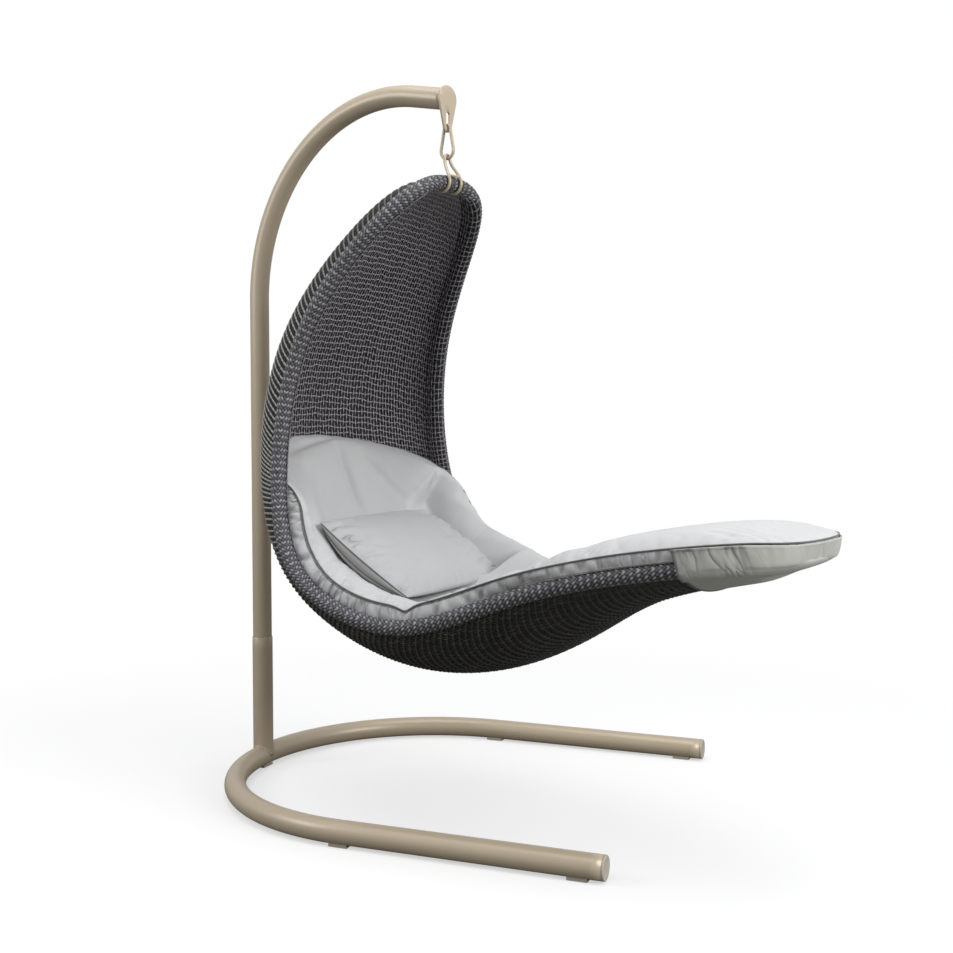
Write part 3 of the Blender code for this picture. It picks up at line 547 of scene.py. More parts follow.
def cover_cloth(name, dark, light):
    """Plain-woven outdoor cloth: threads a fraction of a millimetre apart, slubs and faint cloudiness.
    Beside a seam, creases run away from it: thin lines where a noise stretched that way crosses its middle
    value, in patches, exp(-19 * distance) strong, bumped in and darkened as painted shade."""
    made = Recipe(name, Sheen_Weight=0.22, Sheen_Roughness=0.5, Specular_IOR_Level=0.25)
    where = made.place()
    lie = made.attribute("lie", out=1)
    thread_height = made.bands(lie, "X", THREADS, 0.6) * 0.5 + made.bands(lie, "Y", THREADS, 0.6) * 0.5
    drawn_out = made.node("VectorMath", {"operation": "MULTIPLY"}, {0: lie, 1: (900.0, 60.0, 1.0)})
    slub = made.noise(1.0, drawn_out)
    cloud = made.noise(7.0, where, 4.0)
    share = cloud * 0.55 + slub * 0.25 + thread_height * 0.20
    around, away, drawn = [made.attribute(name) for name in ("around", "away", "drawn")]
    spread = made.node("CombineXYZ", None, {0: around * 25.0, 1: away * 8.0})
    middle = made.maths("ABSOLUTE", made.noise(1.0, spread, 2.0) * 2.0 - 1.0)
    patch = made.noise(1.0, made.node("CombineXYZ", None, {0: around * 7.0, 1: away * 5.0, 2: 3.0}), 1.0)
    patch = made.smooth(patch, 0.40, 0.62, 0.08, 1.0)
    started = made.maths("MINIMUM", away * 160.0, 1.0)
    near = made.maths("EXPONENT", away * -19.0) * drawn * patch * started
    line = (1 - middle) ** 13 * near
    hollow = (1 - middle) ** 4 * near
    colour = made.blend(share, rgb(*dark), rgb(*light))
    # Painted shade: the crease lines and the hollows beside them darken the colour
    painted_crease_shade = rgb(*[0.25 * x for x in dark])
    made.feed("Base Color", made.blend(line * 0.30 + hollow * 0.05, colour, painted_crease_shade))
    made.feed("Roughness", 0.80 + 0.14 * slub)
    below = made.bump(thread_height * 0.7 + slub * 0.3, 0.22, 0.0005)
    made.bump(1 - line * 0.5 - hollow * 0.5, 1.0, 0.0045, below)
    return made.material


PAINT = champagne_paint()
PLASTIC = moulded_plastic()
ALUMINIUM = bare_aluminium()
# Each strand finish takes its darkest and lightest tone and its painted highlight colour
INNER_STRAND = woven_strand(
    "inner_strand", (0.070, 0.065, 0.071), (0.22, 0.205, 0.221), (0.46, 0.432, 0.464)
)
# The outer strands and stakes are darker copies of the inner strand with a faint olive cast: painted shade
# of the underside and painted reflected light from below
OUTER_SHADED_STRAND = woven_strand(
    "outer_strand_painted_shade", (0.020, 0.020, 0.017), (0.050, 0.049, 0.042), (0.48, 0.47, 0.45)
)
OUTER_SHADED_STAKE = woven_strand(
    "outer_stake_painted_shade", (0.012, 0.012, 0.010), (0.040, 0.039, 0.034), (0.20, 0.197, 0.170)
)
# The grounds are real backing weaves; their near-black colours are painted shade for the gaps between the
# strands
INNER_GROUND = woven_ground("inner_ground", (0.006, 0.006, 0.007), (0.020, 0.019, 0.021))
OUTER_GROUND = woven_ground("outer_ground", (0.006, 0.006, 0.005), (0.021, 0.021, 0.018))
BRAID = braided_strand()
PALE_CLOTH = cover_cloth("pale_cloth", (0.425, 0.427, 0.432), (0.518, 0.518, 0.520))
# The pillow's copy of the pale cloth, darker as painted shade
PILLOW_SHADED_CLOTH = cover_cloth("pillow_cloth_painted_shade", (0.372, 0.374, 0.378), (0.452, 0.452, 0.454))
# The sleeve's copy of the pale cloth, darker and olive as painted shade and painted reflected light from
# below
SLEEVE_SHADED_CLOTH = cover_cloth("sleeve_cloth_painted_shade", (0.352, 0.352, 0.328), (0.432, 0.432, 0.406))
# The gussets' copy of the pale cloth, darker as painted shade
GUSSET_SHADED_CLOTH = cover_cloth("gusset_cloth_painted_shade", (0.235, 0.235, 0.225), (0.300, 0.300, 0.288))
DARK_CLOTH = cover_cloth("dark_cloth", (0.085, 0.085, 0.086), (0.135, 0.134, 0.134))


# Meshes


def quads(rows, columns, wrap_rows=False, wrap_columns=False):
    """Corner numbers of a grid's quads, points numbered row by row, and each corner's place on the chart."""
    row = np.arange(rows if wrap_rows else rows - 1)[:, None]
    column = np.arange(columns if wrap_columns else columns - 1)[None, :]
    steps = ((0, 0), (0, 1), (1, 1), (1, 0))
    corners = [((row + i) % rows) * columns + (column + j) % columns for i, j in steps]
    down = rows if wrap_rows else rows - 1
    right = columns if wrap_columns else columns - 1
    chart = [np.stack(np.broadcast_arrays((column + j) / right, (row + i) / down), -1) for i, j in steps]
    corners = np.stack(np.broadcast_arrays(*corners), -1).reshape(-1, 4)
    return corners, np.stack(chart, 2).reshape(-1, 4, 2)


def piece(name, points, faces, finishes, body, replaced, chart, facts=None, which=None, tidy=True):
    """A finished piece from points and lists of faces, riding on a body and standing for CAD nodes. Faces
    come as arrays, one for each corner count. The chart lays each face corner on the piece's own map."""
    mesh = bpy.data.meshes.new(name)
    mesh.vertices.add(len(points))
    mesh.vertices.foreach_set("co", np.ascontiguousarray(points, np.float32).ravel())
    sizes = np.concatenate([np.full(len(f), f.shape[1]) for f in faces])
    corners = np.concatenate([np.asarray(f).ravel() for f in faces]).astype(np.int32)
    mesh.loops.add(len(corners))
    mesh.loops.foreach_set("vertex_index", corners)
    mesh.polygons.add(len(sizes))
    starts = np.concatenate([[0], np.cumsum(sizes)[:-1]])
    mesh.polygons.foreach_set("loop_start", starts.astype(np.int32))
    if which is not None:
        mesh.polygons.foreach_set("material_index", np.asarray(which, np.int32))
    mesh.update(calc_edges=True)
    layer = mesh.uv_layers.new(name="OFBake")
    layer.uv.foreach_set("vector", np.ascontiguousarray(chart, np.float32).ravel())
    for fact, values in (facts or {}).items():
        values = np.asarray(values, np.float32)
        kind, field = ("FLOAT", "value") if values.ndim == 1 else ("FLOAT_VECTOR", "vector")
        mesh.attributes.new(fact, kind, "POINT").data.foreach_set(field, values.ravel())
    if tidy:
        work = bmesh.new()
        work.from_mesh(mesh)
        bmesh.ops.remove_doubles(work, verts=work.verts, dist=1e-6)
        bmesh.ops.recalc_face_normals(work, faces=work.faces)
        work.to_mesh(mesh)
        work.free()
    mesh.shade_smooth()
    for finish in finishes:
        mesh.materials.append(finish)
    made = bpy.data.objects.new(name, mesh)
    bpy.context.scene.collection.objects.link(made)
    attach(made, body)
    if replaced:
        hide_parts(*replaced)
    return made


def painted(name, made, body, node, turn=ARM_TURN):
    """A painted piece from points, corners and a chart, standing for one CAD node."""
    points, corners, chart = made
    points = turned_about_z(points, turn)
    return piece(name, points, [corners], [PAINT], body, [node], chart)


def frames(path, first, closed=False):
    """Two unit vectors square to a path at each point, carried along it with the least twist."""
    runs = np.roll(path, -1, axis=0) - path
    if not closed:
        runs[-1] = runs[-2]
    runs = unit(runs)
    before = np.roll(runs, 1, axis=0)
    if not closed:
        before[0] = runs[0]
    along = unit(runs + before)
    side = np.empty_like(path)
    kept = np.asarray(first, float)
    for index, step in enumerate(along):
        kept = kept - step * (kept @ step)
        kept = kept / np.linalg.norm(kept)
        side[index] = kept
    return side, np.cross(along, side)


def swept(path, profile, first, closed=False):
    """A closed flat profile, or one for each point, carried square to a path:
    path + side * x + other * y."""
    side, other = frames(path, first, closed)
    profile = np.broadcast_to(profile, (len(path),) + np.shape(profile)[-2:])
    return path[:, None] + profile[..., :1] * side[:, None] + profile[..., 1:] * other[:, None]


def circle(radius, sides):
    angle = np.arange(sides) * 2 * math.pi / sides
    return radius * np.stack([np.cos(angle), np.sin(angle)], -1)


def closed_skin(loops):
    """One closed skin from rings of points, the last ring joined to the first."""
    corners, chart = quads(len(loops), loops.shape[1], wrap_rows=True, wrap_columns=True)
    return loops.reshape(-1, 3), corners, chart


def tube(path, radius, wall, first):
    """Rings of a tube's outside and of its inside, along a path."""
    return [swept(path, circle(r, ROUND), first) for r in (radius, radius - wall)]


def tube_wall(outer, inner):
    """A tube's skin from two sets of rings: out along the outside and back along the inside."""
    return closed_skin(np.concatenate([outer, inner[::-1]]))


def bar(path, radius, first, sides, closed=False):
    """A round bar along a path. Open ends are domed: three rings shrink as cosines of the way to the
    pole."""
    path = np.asarray(path, float)
    turn = np.array([30.0, 60.0, 90.0]) * math.pi / 180
    shrink = np.ones(len(path))
    if not closed:
        rise = (0.7 * radius * np.sin(turn))[:, None]
        start = path[0] + unit(path[0] - path[1]) * rise
        end = path[-1] + unit(path[-1] - path[-2]) * rise
        path = np.concatenate([start[::-1], path, end])
        shrink = np.concatenate([np.cos(turn)[::-1], shrink, np.cos(turn)])
    loops = swept(path, circle(radius, sides)[None] * shrink[:, None, None], first, closed)
    corners, chart = quads(len(path), sides, wrap_rows=closed, wrap_columns=True)
    return loops.reshape(-1, 3), corners, chart


def lathe(profile, place, along, first, sides=ROUND):
    """A turned solid from (distance along, radius) pairs: place + along * d + radius * (cos, sin)."""
    stops, radii = np.array(profile, float).T
    along, side = np.asarray(along, float), np.asarray(first, float)
    spokes = circle(1.0, sides)
    spokes = spokes[:, :1] * side + spokes[:, 1:] * np.cross(along, side)
    loops = np.asarray(place, float) + stops[:, None, None] * along + radii[:, None, None] * spokes
    corners, chart = quads(len(stops), sides, wrap_columns=True)
    return loops.reshape(-1, 3), corners, chart


# The stand


def base_line():
    """Down one leg, round the half circle behind the chair and out along the other leg."""
    end = BASE_BEND_RADIUS + BASE_LEG_LENGTH
    bend = arc(BASE_BEND_RADIUS, math.pi / 2, 3 * math.pi / 2, 121, (BASE_BEND_RADIUS, 0.0))
    leg = np.linspace(end, BASE_BEND_RADIUS, 24)[:-1]
    near = np.column_stack([leg, np.full(len(leg), BASE_BEND_RADIUS)])
    flat = np.concatenate([near, bend, near[::-1] * (1, -1)])
    return np.column_stack([flat, np.full(len(flat), BASE_HEIGHT)])


def arm_line():
    """Up the post, round the bend and out to the plate, in the arm's upright plane."""
    bend = np.linspace(0.0, ARM_BEND, 85)
    ahead = ARM_BEND_RADIUS * (1 - np.cos(bend))
    up = ARM_BEND_START + ARM_BEND_RADIUS * np.sin(bend)
    post = np.linspace(SOCKET_TOP - ARM_INSERT, ARM_BEND_START, 30)[:-1]
    run = np.linspace(0.0, ARM_END_RUN, 8)[1:]
    ahead = np.concatenate([np.zeros(len(post)), ahead, ahead[-1] + run * math.sin(ARM_BEND)])
    up = np.concatenate([post, up, up[-1] + run * math.cos(ARM_BEND)])
    return np.column_stack([ahead, np.zeros_like(ahead), up])


def build_base():
    """The floor base: tube, end caps and the post socket with its weld."""
    walls = tube(base_line(), BASE_TUBE_RADIUS, BASE_TUBE_WALL, (0, 0, 1))
    painted("floor_tube", tube_wall(*walls), "stand", "base_tube", 0.0)

    bore = BASE_TUBE_RADIUS - BASE_TUBE_WALL - 2 * GAP
    centre = (CAP_FLANGE - CAP_ROUNDING, BASE_TUBE_RADIUS - CAP_ROUNDING)
    rounded = arc(CAP_ROUNDING, math.pi / 2, 0.0, 7, centre)
    cap = [(-CAP_PLUG_LENGTH, 0.0), (-CAP_PLUG_LENGTH, bore), (GAP, bore)]
    cap += [(GAP, BASE_TUBE_RADIUS - EDGE_EASE), (GAP + EDGE_EASE, BASE_TUBE_RADIUS)]
    cap += [*rounded, *[(CAP_FLANGE - depth, radius) for depth, radius in CAP_HOLLOW]]
    end = BASE_BEND_RADIUS + BASE_LEG_LENGTH
    for side, sign in (("left", 1), ("right", -1)):
        place = (end, sign * BASE_BEND_RADIUS, BASE_HEIGHT)
        points, corners, chart = lathe(cap, place, (1, 0, 0), (0, 0, 1))
        name, nodes = f"leg_cap_{side}", [f"base_cap_{side}"]
        piece(name, points, [corners], [PLASTIC], "stand", nodes, chart)

    spokes = circle(1.0, ROUND)

    def saddle(radius):
        """Height where an upright cylinder meets the bent tube: its half height off its middle line."""
        x, y = radius * spokes[:, 0], radius * spokes[:, 1]
        off = np.hypot(x - BASE_BEND_RADIUS, y) - BASE_BEND_RADIUS
        return BASE_HEIGHT + np.sqrt(np.maximum((BASE_TUBE_RADIUS + GAP) ** 2 - off**2, 0.0))

    rings = []
    for share in np.linspace(0.0, 1.0, 9):
        flare = WELD_FLARE * (1 - math.sqrt(1 - (1 - share) ** 2))
        rings.append((SOCKET_RADIUS + flare, saddle(SOCKET_RADIUS + flare) + share * WELD_HEIGHT))
    low = saddle(SOCKET_RADIUS) + WELD_HEIGHT
    rings += [(SOCKET_RADIUS, low + (SOCKET_TOP - SOCKET_LIP - low) * t) for t in np.linspace(0.1, 1.0, 10)]
    rings += [(radius, np.full(ROUND, SOCKET_TOP)) for radius in (SOCKET_RADIUS - EDGE_EASE, SOCKET_BORE)]
    rings += [(SOCKET_BORE, SOCKET_TOP + (low - SOCKET_TOP) * t) for t in (0.3, 0.7, 1.0)]
    rings += [(SOCKET_BORE, saddle(SOCKET_BORE))]
    loops = np.stack([np.column_stack([r * spokes, z]) for r, z in rings])
    painted("post_sleeve", closed_skin(loops), "stand", "post_socket", 0.0)


def plate_grid(face, height):
    """The teardrop plate as one closed skin: rings run from the slot's edge over the front, round the outer
    edge and over the back to the slot again, all edges eased."""
    outer = two_circle_loop(PLATE_DISC_RADIUS, 0.0, PLATE_TAIL_RADIUS, -PLATE_TAIL_DROP, 40)
    half = SLOT_WIDTH / 2
    slot = np.concatenate([
        arc(half, 0.0, math.pi, 40, (0.0, -SLOT_TOP_DROP - half)),
        arc(half, math.pi, 2 * math.pi, 40, (0.0, -SLOT_BOTTOM_DROP + half)),
    ])
    ease = EDGE_EASE
    back, front = face, face + PLATE_THICKNESS
    wider = slot + unit(slot - slot.mean(0)) * ease
    narrower = outer - unit(outer - outer.mean(0)) * ease
    between = [slot + (outer - slot) * t for t in (0.35, 0.7)]
    rings = [(slot, front - ease), (wider, front), (between[0], front), (between[1], front)]
    rings += [(narrower, front), (outer, front - ease), (outer, back + ease), (narrower, back)]
    rings += [(between[1], back), (between[0], back), (wider, back), (slot, back + ease)]
    return np.stack([np.column_stack([np.full(len(r), d), r[:, 0], r[:, 1] + height]) for r, d in rings])


def hanger_line():
    """Half of the hanger: an arc at the apex, a cubic leg, and a hook that is an arc about the rim."""
    centre = (HANG_AHEAD, -HANGER_DROP)
    apex = arc(HANGER_APEX, math.pi / 2, 0.0, 14, (0.0, -HANGER_APEX))
    apex = np.column_stack([np.zeros(len(apex)), apex])
    reach = WRAP_RADIUS + HANGER_ROD + HOOK_CLEARANCE
    hook = arc(reach, HOOK_START, HOOK_END, 30, (centre[0], centre[1] + HOOK_CLEARANCE - HOOK_SEAT))
    hook = np.column_stack([hook[:, 0], np.full(len(hook), HOOK_SPREAD), hook[:, 1]])
    away = np.array([math.sin(HOOK_START), 0.0, -math.cos(HOOK_START)])
    first, last = LEG_HANDLES
    handles = np.array([apex[-1], apex[-1] - (0.0, 0.0, first), hook[0] - away * last, hook[0]])
    t = np.linspace(0.0, 1.0, 29)[1:-1, None]
    weights = ((1 - t) ** 3, 3 * t * (1 - t) ** 2, 3 * t**2 * (1 - t), t**3)
    leg = sum(weight * handle for weight, handle in zip(weights, handles))
    return np.concatenate([apex, leg, hook]), leg[STAY_AT]


ARM_END = arm_line()[-1]
REACH = ARM_END[0] + GAP + PLATE_THICKNESS / 2
LINK_HEIGHT = ARM_END[2] - SLOT_BOTTOM_DROP + GAP + LINK_NARROW
LINK_HEIGHT -= math.sqrt((LINK_NARROW - LINK_WIRE) ** 2 - (PLATE_THICKNESS / 2 + GAP) ** 2)
APEX_HEIGHT = LINK_HEIGHT - LINK_DROP + LINK_WIRE + HANGER_ROD + 2 * GAP


def build_arm():
    """The arm with its plate, the link and the hanger."""
    path = arm_line()
    walls = tube(path, ARM_RADIUS, ARM_WALL, (0, 1, 0))
    run = path[-1] - path[-2]
    for loops in walls:
        loops[-1] -= run * ((loops[-1] - path[-1])[:, 0] / run[0])[:, None]
    painted("bent_arm", tube_wall(*walls), "arm", "arm_tube")
    loops = plate_grid(ARM_END[0] + GAP, ARM_END[2])
    plate = painted("hanging_plate", closed_skin(loops), "arm", "arm_end_plate")
    plate.data.set_sharp_from_angle(angle=math.radians(50))

    loop = two_circle_loop(LINK_NARROW, -LINK_NARROW, LINK_WIDE, LINK_WIDE - LINK_DROP, 60)
    loop = np.column_stack([loop[:, 0] + REACH, np.zeros(len(loop)), loop[:, 1] + LINK_HEIGHT])
    painted("pear_link", bar(loop, LINK_WIRE, (0, 1, 0), ROD_ROUND, closed=True), "link", "chain_link")

    half, beside = hanger_line()
    at = np.array([REACH, 0.0, APEX_HEIGHT])
    path = np.concatenate([half[:0:-1] * (1, -1, 1), half]) + at
    painted("forked_hanger", bar(path, HANGER_ROD, (1, 0, 0), ROD_ROUND), "hanger", "hanger_rod")
    length = beside[1] - 0.8 * HANGER_ROD
    path = np.array([(beside[0], length * t, beside[2]) for t in (-1, -0.5, 0, 0.5, 1)]) + at
    painted("hanger_stay", bar(path, CROSSBAR_RADIUS, (1, 0, 0), ROD_ROUND), "hanger", "hanger_crossbar")


# The shell


def spline_slopes(points, closed):
    """Slopes that give a cubic spline an even second derivative at its points."""
    count = len(points)
    matrix = 4 * np.eye(count) + np.eye(count, k=1) + np.eye(count, k=-1)
    if closed:
        matrix[0, -1] = matrix[-1, 0] = 1
        return np.linalg.solve(matrix, 3 * (np.roll(points, -1, 0) - np.roll(points, 1, 0)))
    matrix[0, 0] = matrix[-1, -1] = 2
    rise = np.empty_like(points)
    rise[1:-1] = points[2:] - points[:-2]
    rise[0], rise[-1] = points[1] - points[0], points[-1] - points[-2]
    return np.linalg.solve(matrix, 3 * rise)


def spline(points, slopes, where):
    """Points of the cubic spline at the given station numbers."""
    where = np.asarray(where, float)
    low = np.clip(np.floor(where).astype(int), 0, len(points) - 2)
    t = (where - low)[..., None]
    ends = (2 * t**3 - 3 * t**2 + 1) * points[low] + (3 * t**2 - 2 * t**3) * points[low + 1]
    return ends + (t**3 - 2 * t**2 + t) * slopes[low] + (t**3 - t**2) * slopes[low + 1]


class Shell:
    """The woven shell's middle surface, from the rim's tip: at station u and section angle a it is
    middle(u) + depth(u) * cos(a)**power + half(u) * sin(a) to the left, with power 1 in the seat and 2 at
    the foot."""

    def __init__(self, stations):
        table = np.array(stations, float)
        half = table[:, :3]
        loop = np.concatenate([half, half[-2:0:-1] * (1, 1, -1)])
        self.rim_points = np.concatenate([loop, loop[:1]])
        slopes = spline_slopes(loop, closed=True)
        self.rim_slopes = np.concatenate([slopes, slopes[:1]])
        self.keel_points = table[:, 3:]
        self.keel_slopes = spline_slopes(self.keel_points, closed=False)

    def rim(self, u):
        """Rim points as (ahead, left, up)."""
        return spline(self.rim_points, self.rim_slopes, u)[..., [0, 2, 1]]

    def depth(self, u):
        """Vectors from the middle of the rim to the keel."""
        keel = spline(self.keel_points, self.keel_slopes, u)
        middle = self.rim(u)
        ahead = keel[..., 0] - middle[..., 0]
        return np.stack([ahead, np.zeros_like(ahead), keel[..., 1] - middle[..., 2]], -1)

    def at(self, u, a):
        """Points of the middle surface."""
        u, a = np.broadcast_arrays(np.asarray(u, float), np.asarray(a, float))
        middle = self.rim(u)
        power = 1 + step_up(u, FLATTER_FROM, FLATTER_TO)
        place = middle + self.depth(u) * (np.maximum(np.cos(a), 0.0) ** power)[..., None]
        place[..., 1] = middle[..., 1] * np.sin(a)
        return place

    def normal(self, u, a):
        """Unit normals, pointing out of the shell."""
        small = 1e-4
        u = np.clip(u, 0.002, FOOT - 0.002)
        along = self.at(u + small, a) - self.at(u - small, a)
        across = self.at(u, a + small) - self.at(u, a - small)
        return unit(np.cross(across, along))

    def angle_off_rim(self, u, distance):
        """The section angle at which the surface lies a given distance from the rim's middle line."""
        u = np.asarray(u, float)
        low, high = np.zeros_like(u), np.full_like(u, math.pi / 2)
        for _ in range(30):
            middle = (low + high) / 2
            far = np.linalg.norm(self.at(u, middle) - self.rim(u), axis=-1) > distance
            low, high = np.where(far, middle, low), np.where(far, high, middle)
        return (low + high) / 2

    def rim_along(self, u):
        """The rim's unit direction, taken round the loop."""
        whole = 2 * FOOT
        return unit(self.rim((u + 1e-3) % whole) - self.rim((u - 1e-3) % whole))

    def rim_frame(self, u):
        """Unit vectors at rim stations: outwards, and upwards, away from the keel and square to the rim."""
        along = self.rim_along(u)
        upward = -self.depth(np.clip(u, 0.02, FOOT - 1.0))
        upward = unit(upward - along * (upward * along).sum(-1, keepdims=True))
        return np.cross(upward, along), upward


SHELL = Shell(SHELL_STATIONS)
near_tip = SHELL.rim(np.linspace(0.0, 0.6, 601))
HOOKED = near_tip[np.argmin(np.abs(near_tip[:, 1] - HOOK_SPREAD))] * (1, 0, 1)
CHAIR_AT = np.array([REACH + HANG_AHEAD, 0.0, APEX_HEIGHT - HANGER_DROP]) - HOOKED


def hung(points):
    """Points of the chair, measured from the rim's tip, in the part's frame."""
    return turned_about_z(np.asarray(points, float) + CHAIR_AT, ARM_TURN)


def even_stations(start, end, pitch, angle):
    """Stations an even distance apart along the shell at one section angle."""
    fine = np.linspace(start, end, 2000)
    run = run_length(SHELL.at(fine, angle), 0)
    count = int(round(run[-1] / pitch))
    return np.interp(np.linspace(0.0, run[-1], count + 1), run, fine)


def woven_sheet(u, w, sign, off):
    """One woven face: points of the shell's middle surface and unit vectors out of it, at w times the way
    to the rim. Past 1 the inner face leans in to the rim's inmost line,
    x = x0 + (-R - x0) * (3 t^2 - 2 t^3), and goes on round the rim on a circle of radius R, which is
    smaller at the tip to leave room for the hooks."""
    clear = step_up(u, *HOOKS_CLEAR)
    edge = SHELL.angle_off_rim(u, LAP_FROM * (0.5 + 0.5 * clear) if sign < 0 else SKIN_INSET)
    turn = edge * np.clip(w, -1.0, 1.0)
    place, out = SHELL.at(u, turn), SHELL.normal(u, turn)
    past = np.maximum(np.abs(w) - 1, 0.0) * STAKES / (2 * LAP_STAKES)
    if not past.any():
        return place, out
    rim, along = SHELL.rim(u), SHELL.rim_along(u)
    outward, upward = SHELL.rim_frame(u)
    inward = -SHELL.normal(u, edge)
    start = SHELL.at(u, edge) + inward * off - rim
    x, y, z = [(start * way).sum(-1) for way in (outward, upward, along)]
    lean, gone = np.minimum(2 * past, 1.0), np.maximum(2 * past - 1, 0.0)
    end = np.where(np.asarray(w) < 0, LAP_END_NEAR, LAP_END_FAR)
    angle = math.pi + (end - math.pi) * gone * (0.15 + 0.85 * step_up(u, *LAP_TURNS))
    crest = LAP_RADIUS - HOOK_ROOM * (1 - clear)
    radius = crest - LAP_TUCK * step_up(past, *LAP_TUCKS)
    x = np.where(lean < 1, x - (crest + x) * step_up(lean, 0.0, 1.0), radius * np.cos(angle))
    y = np.where(lean < 1, y * (1 - lean), radius * np.sin(angle))
    spoke = outward * np.cos(angle)[..., None] + upward * np.sin(angle)[..., None]
    spoke = unit(inward * (1 - lean)[..., None] + spoke * lean[..., None])
    lap = rim + outward * x[..., None] + upward * y[..., None] + along * (z * (1 - past))[..., None]
    lap = lap - spoke * off
    mirror = np.stack(np.broadcast_arrays(1.0, np.where(w < 0, -1.0, 1.0), 1.0), -1)
    beyond = np.broadcast_to(past > 0, angle.shape)[..., None]
    return np.where(beyond, lap * mirror, place), np.where(beyond, -spoke * mirror, out)


def strands(place, out, lift, wide, thick, tones, crest):
    """Strands as thin tubes. Each row of points is one strand's line, moved by lift along the unit vectors
    out; its section is wide along the surface and thick along the vectors."""
    line = place + out * lift[..., None]
    along = unit(np.gradient(line, axis=1))
    side = unit(np.cross(along, out))
    up = np.cross(side, along)
    sides = STRAND_SIDES
    angle = np.arange(sides) * 2 * math.pi / sides
    loops = line[:, :, None] + side[:, :, None] * (wide * np.cos(angle))[:, None]
    loops = loops + up[:, :, None] * (thick * np.sin(angle))[:, None]
    count, length = line.shape[:2]
    corners, chart = quads(length, sides, wrap_columns=True)
    numbers = np.arange(count)[:, None, None]
    faces = (corners[None] + numbers * (length * sides)).reshape(-1, 4)
    chart = np.broadcast_to(chart, (count,) + chart.shape).copy()
    chart[..., 0] = (chart[..., 0] * 0.9 + 0.05 + numbers) / count
    ends = np.arange(sides)[None] + np.arange(count)[:, None] * (length * sides)
    caps = np.concatenate([ends[:, ::-1], ends + (length - 1) * sides])
    cap_chart = np.zeros((len(caps), sides, 2))
    cap_chart[..., 0] = ((np.arange(len(caps)) % count + 0.5) / count)[:, None]
    cap_chart[..., 1] = np.repeat([0.0, 1.0], count)[:, None]
    run = run_length(line, 1)[..., None] * 60
    lie = np.stack(np.broadcast_arrays(run, angle * 3.0, numbers * 7.3), -1)
    facts = {
        "tone": np.broadcast_to(tones[:, None, None], loops.shape[:3]).ravel(),
        "crest": np.broadcast_to(crest[..., None], loops.shape[:3]).ravel(),
        "lie": lie.reshape(-1, 3),
    }
    chart = np.concatenate([chart.reshape(-1, 2), cap_chart.reshape(-1, 2)])
    return loops.reshape(-1, 3), [faces, caps], chart, facts


def run_length(grid, axis):
    """Distance run along one way of a grid of points."""
    steps = np.linalg.norm(np.diff(grid, axis=axis), axis=-1)
    start = np.zeros_like(np.take(steps, [0], axis=axis))
    return np.concatenate([start, np.cumsum(steps, axis=axis)], axis=axis)


def loop_round(order):
    """Point numbers once round the edge of a numbered grid."""
    return np.concatenate([order[0], order[1:, -1], order[-1, -2::-1], order[-2:0:-1, 0]])


def double_sheet(rows, columns):
    """Faces of two grids of one size, numbered one after the other and joined round their edges, with their
    chart."""
    count = rows * columns
    corners, chart = quads(rows, columns)
    rim = loop_round(np.arange(count).reshape(rows, columns))
    ahead = np.roll(rim, -1)
    wall = np.stack([rim, ahead, ahead + count, rim + count], -1)
    chart = chart * (0.48, 0.98) + 0.005
    chart = np.concatenate([chart, chart[:, ::-1] + (0.5, 0.0), np.zeros((len(wall), 4, 2)) + 0.995])
    return np.concatenate([corners, corners[:, ::-1] + count, wall]), chart.reshape(-1, 2)


def sagging(rows, w, slant):
    """Stations along weft rows that run down towards the rim as the square of the way there, in the hood."""
    hood = step_up(rows, *HOOD_STARTS) * (1 - step_up(rows, *HOOD_ENDS))
    return rows + slant * WEFT_SAG * np.minimum(np.abs(w), 1.0) ** 2 * hood


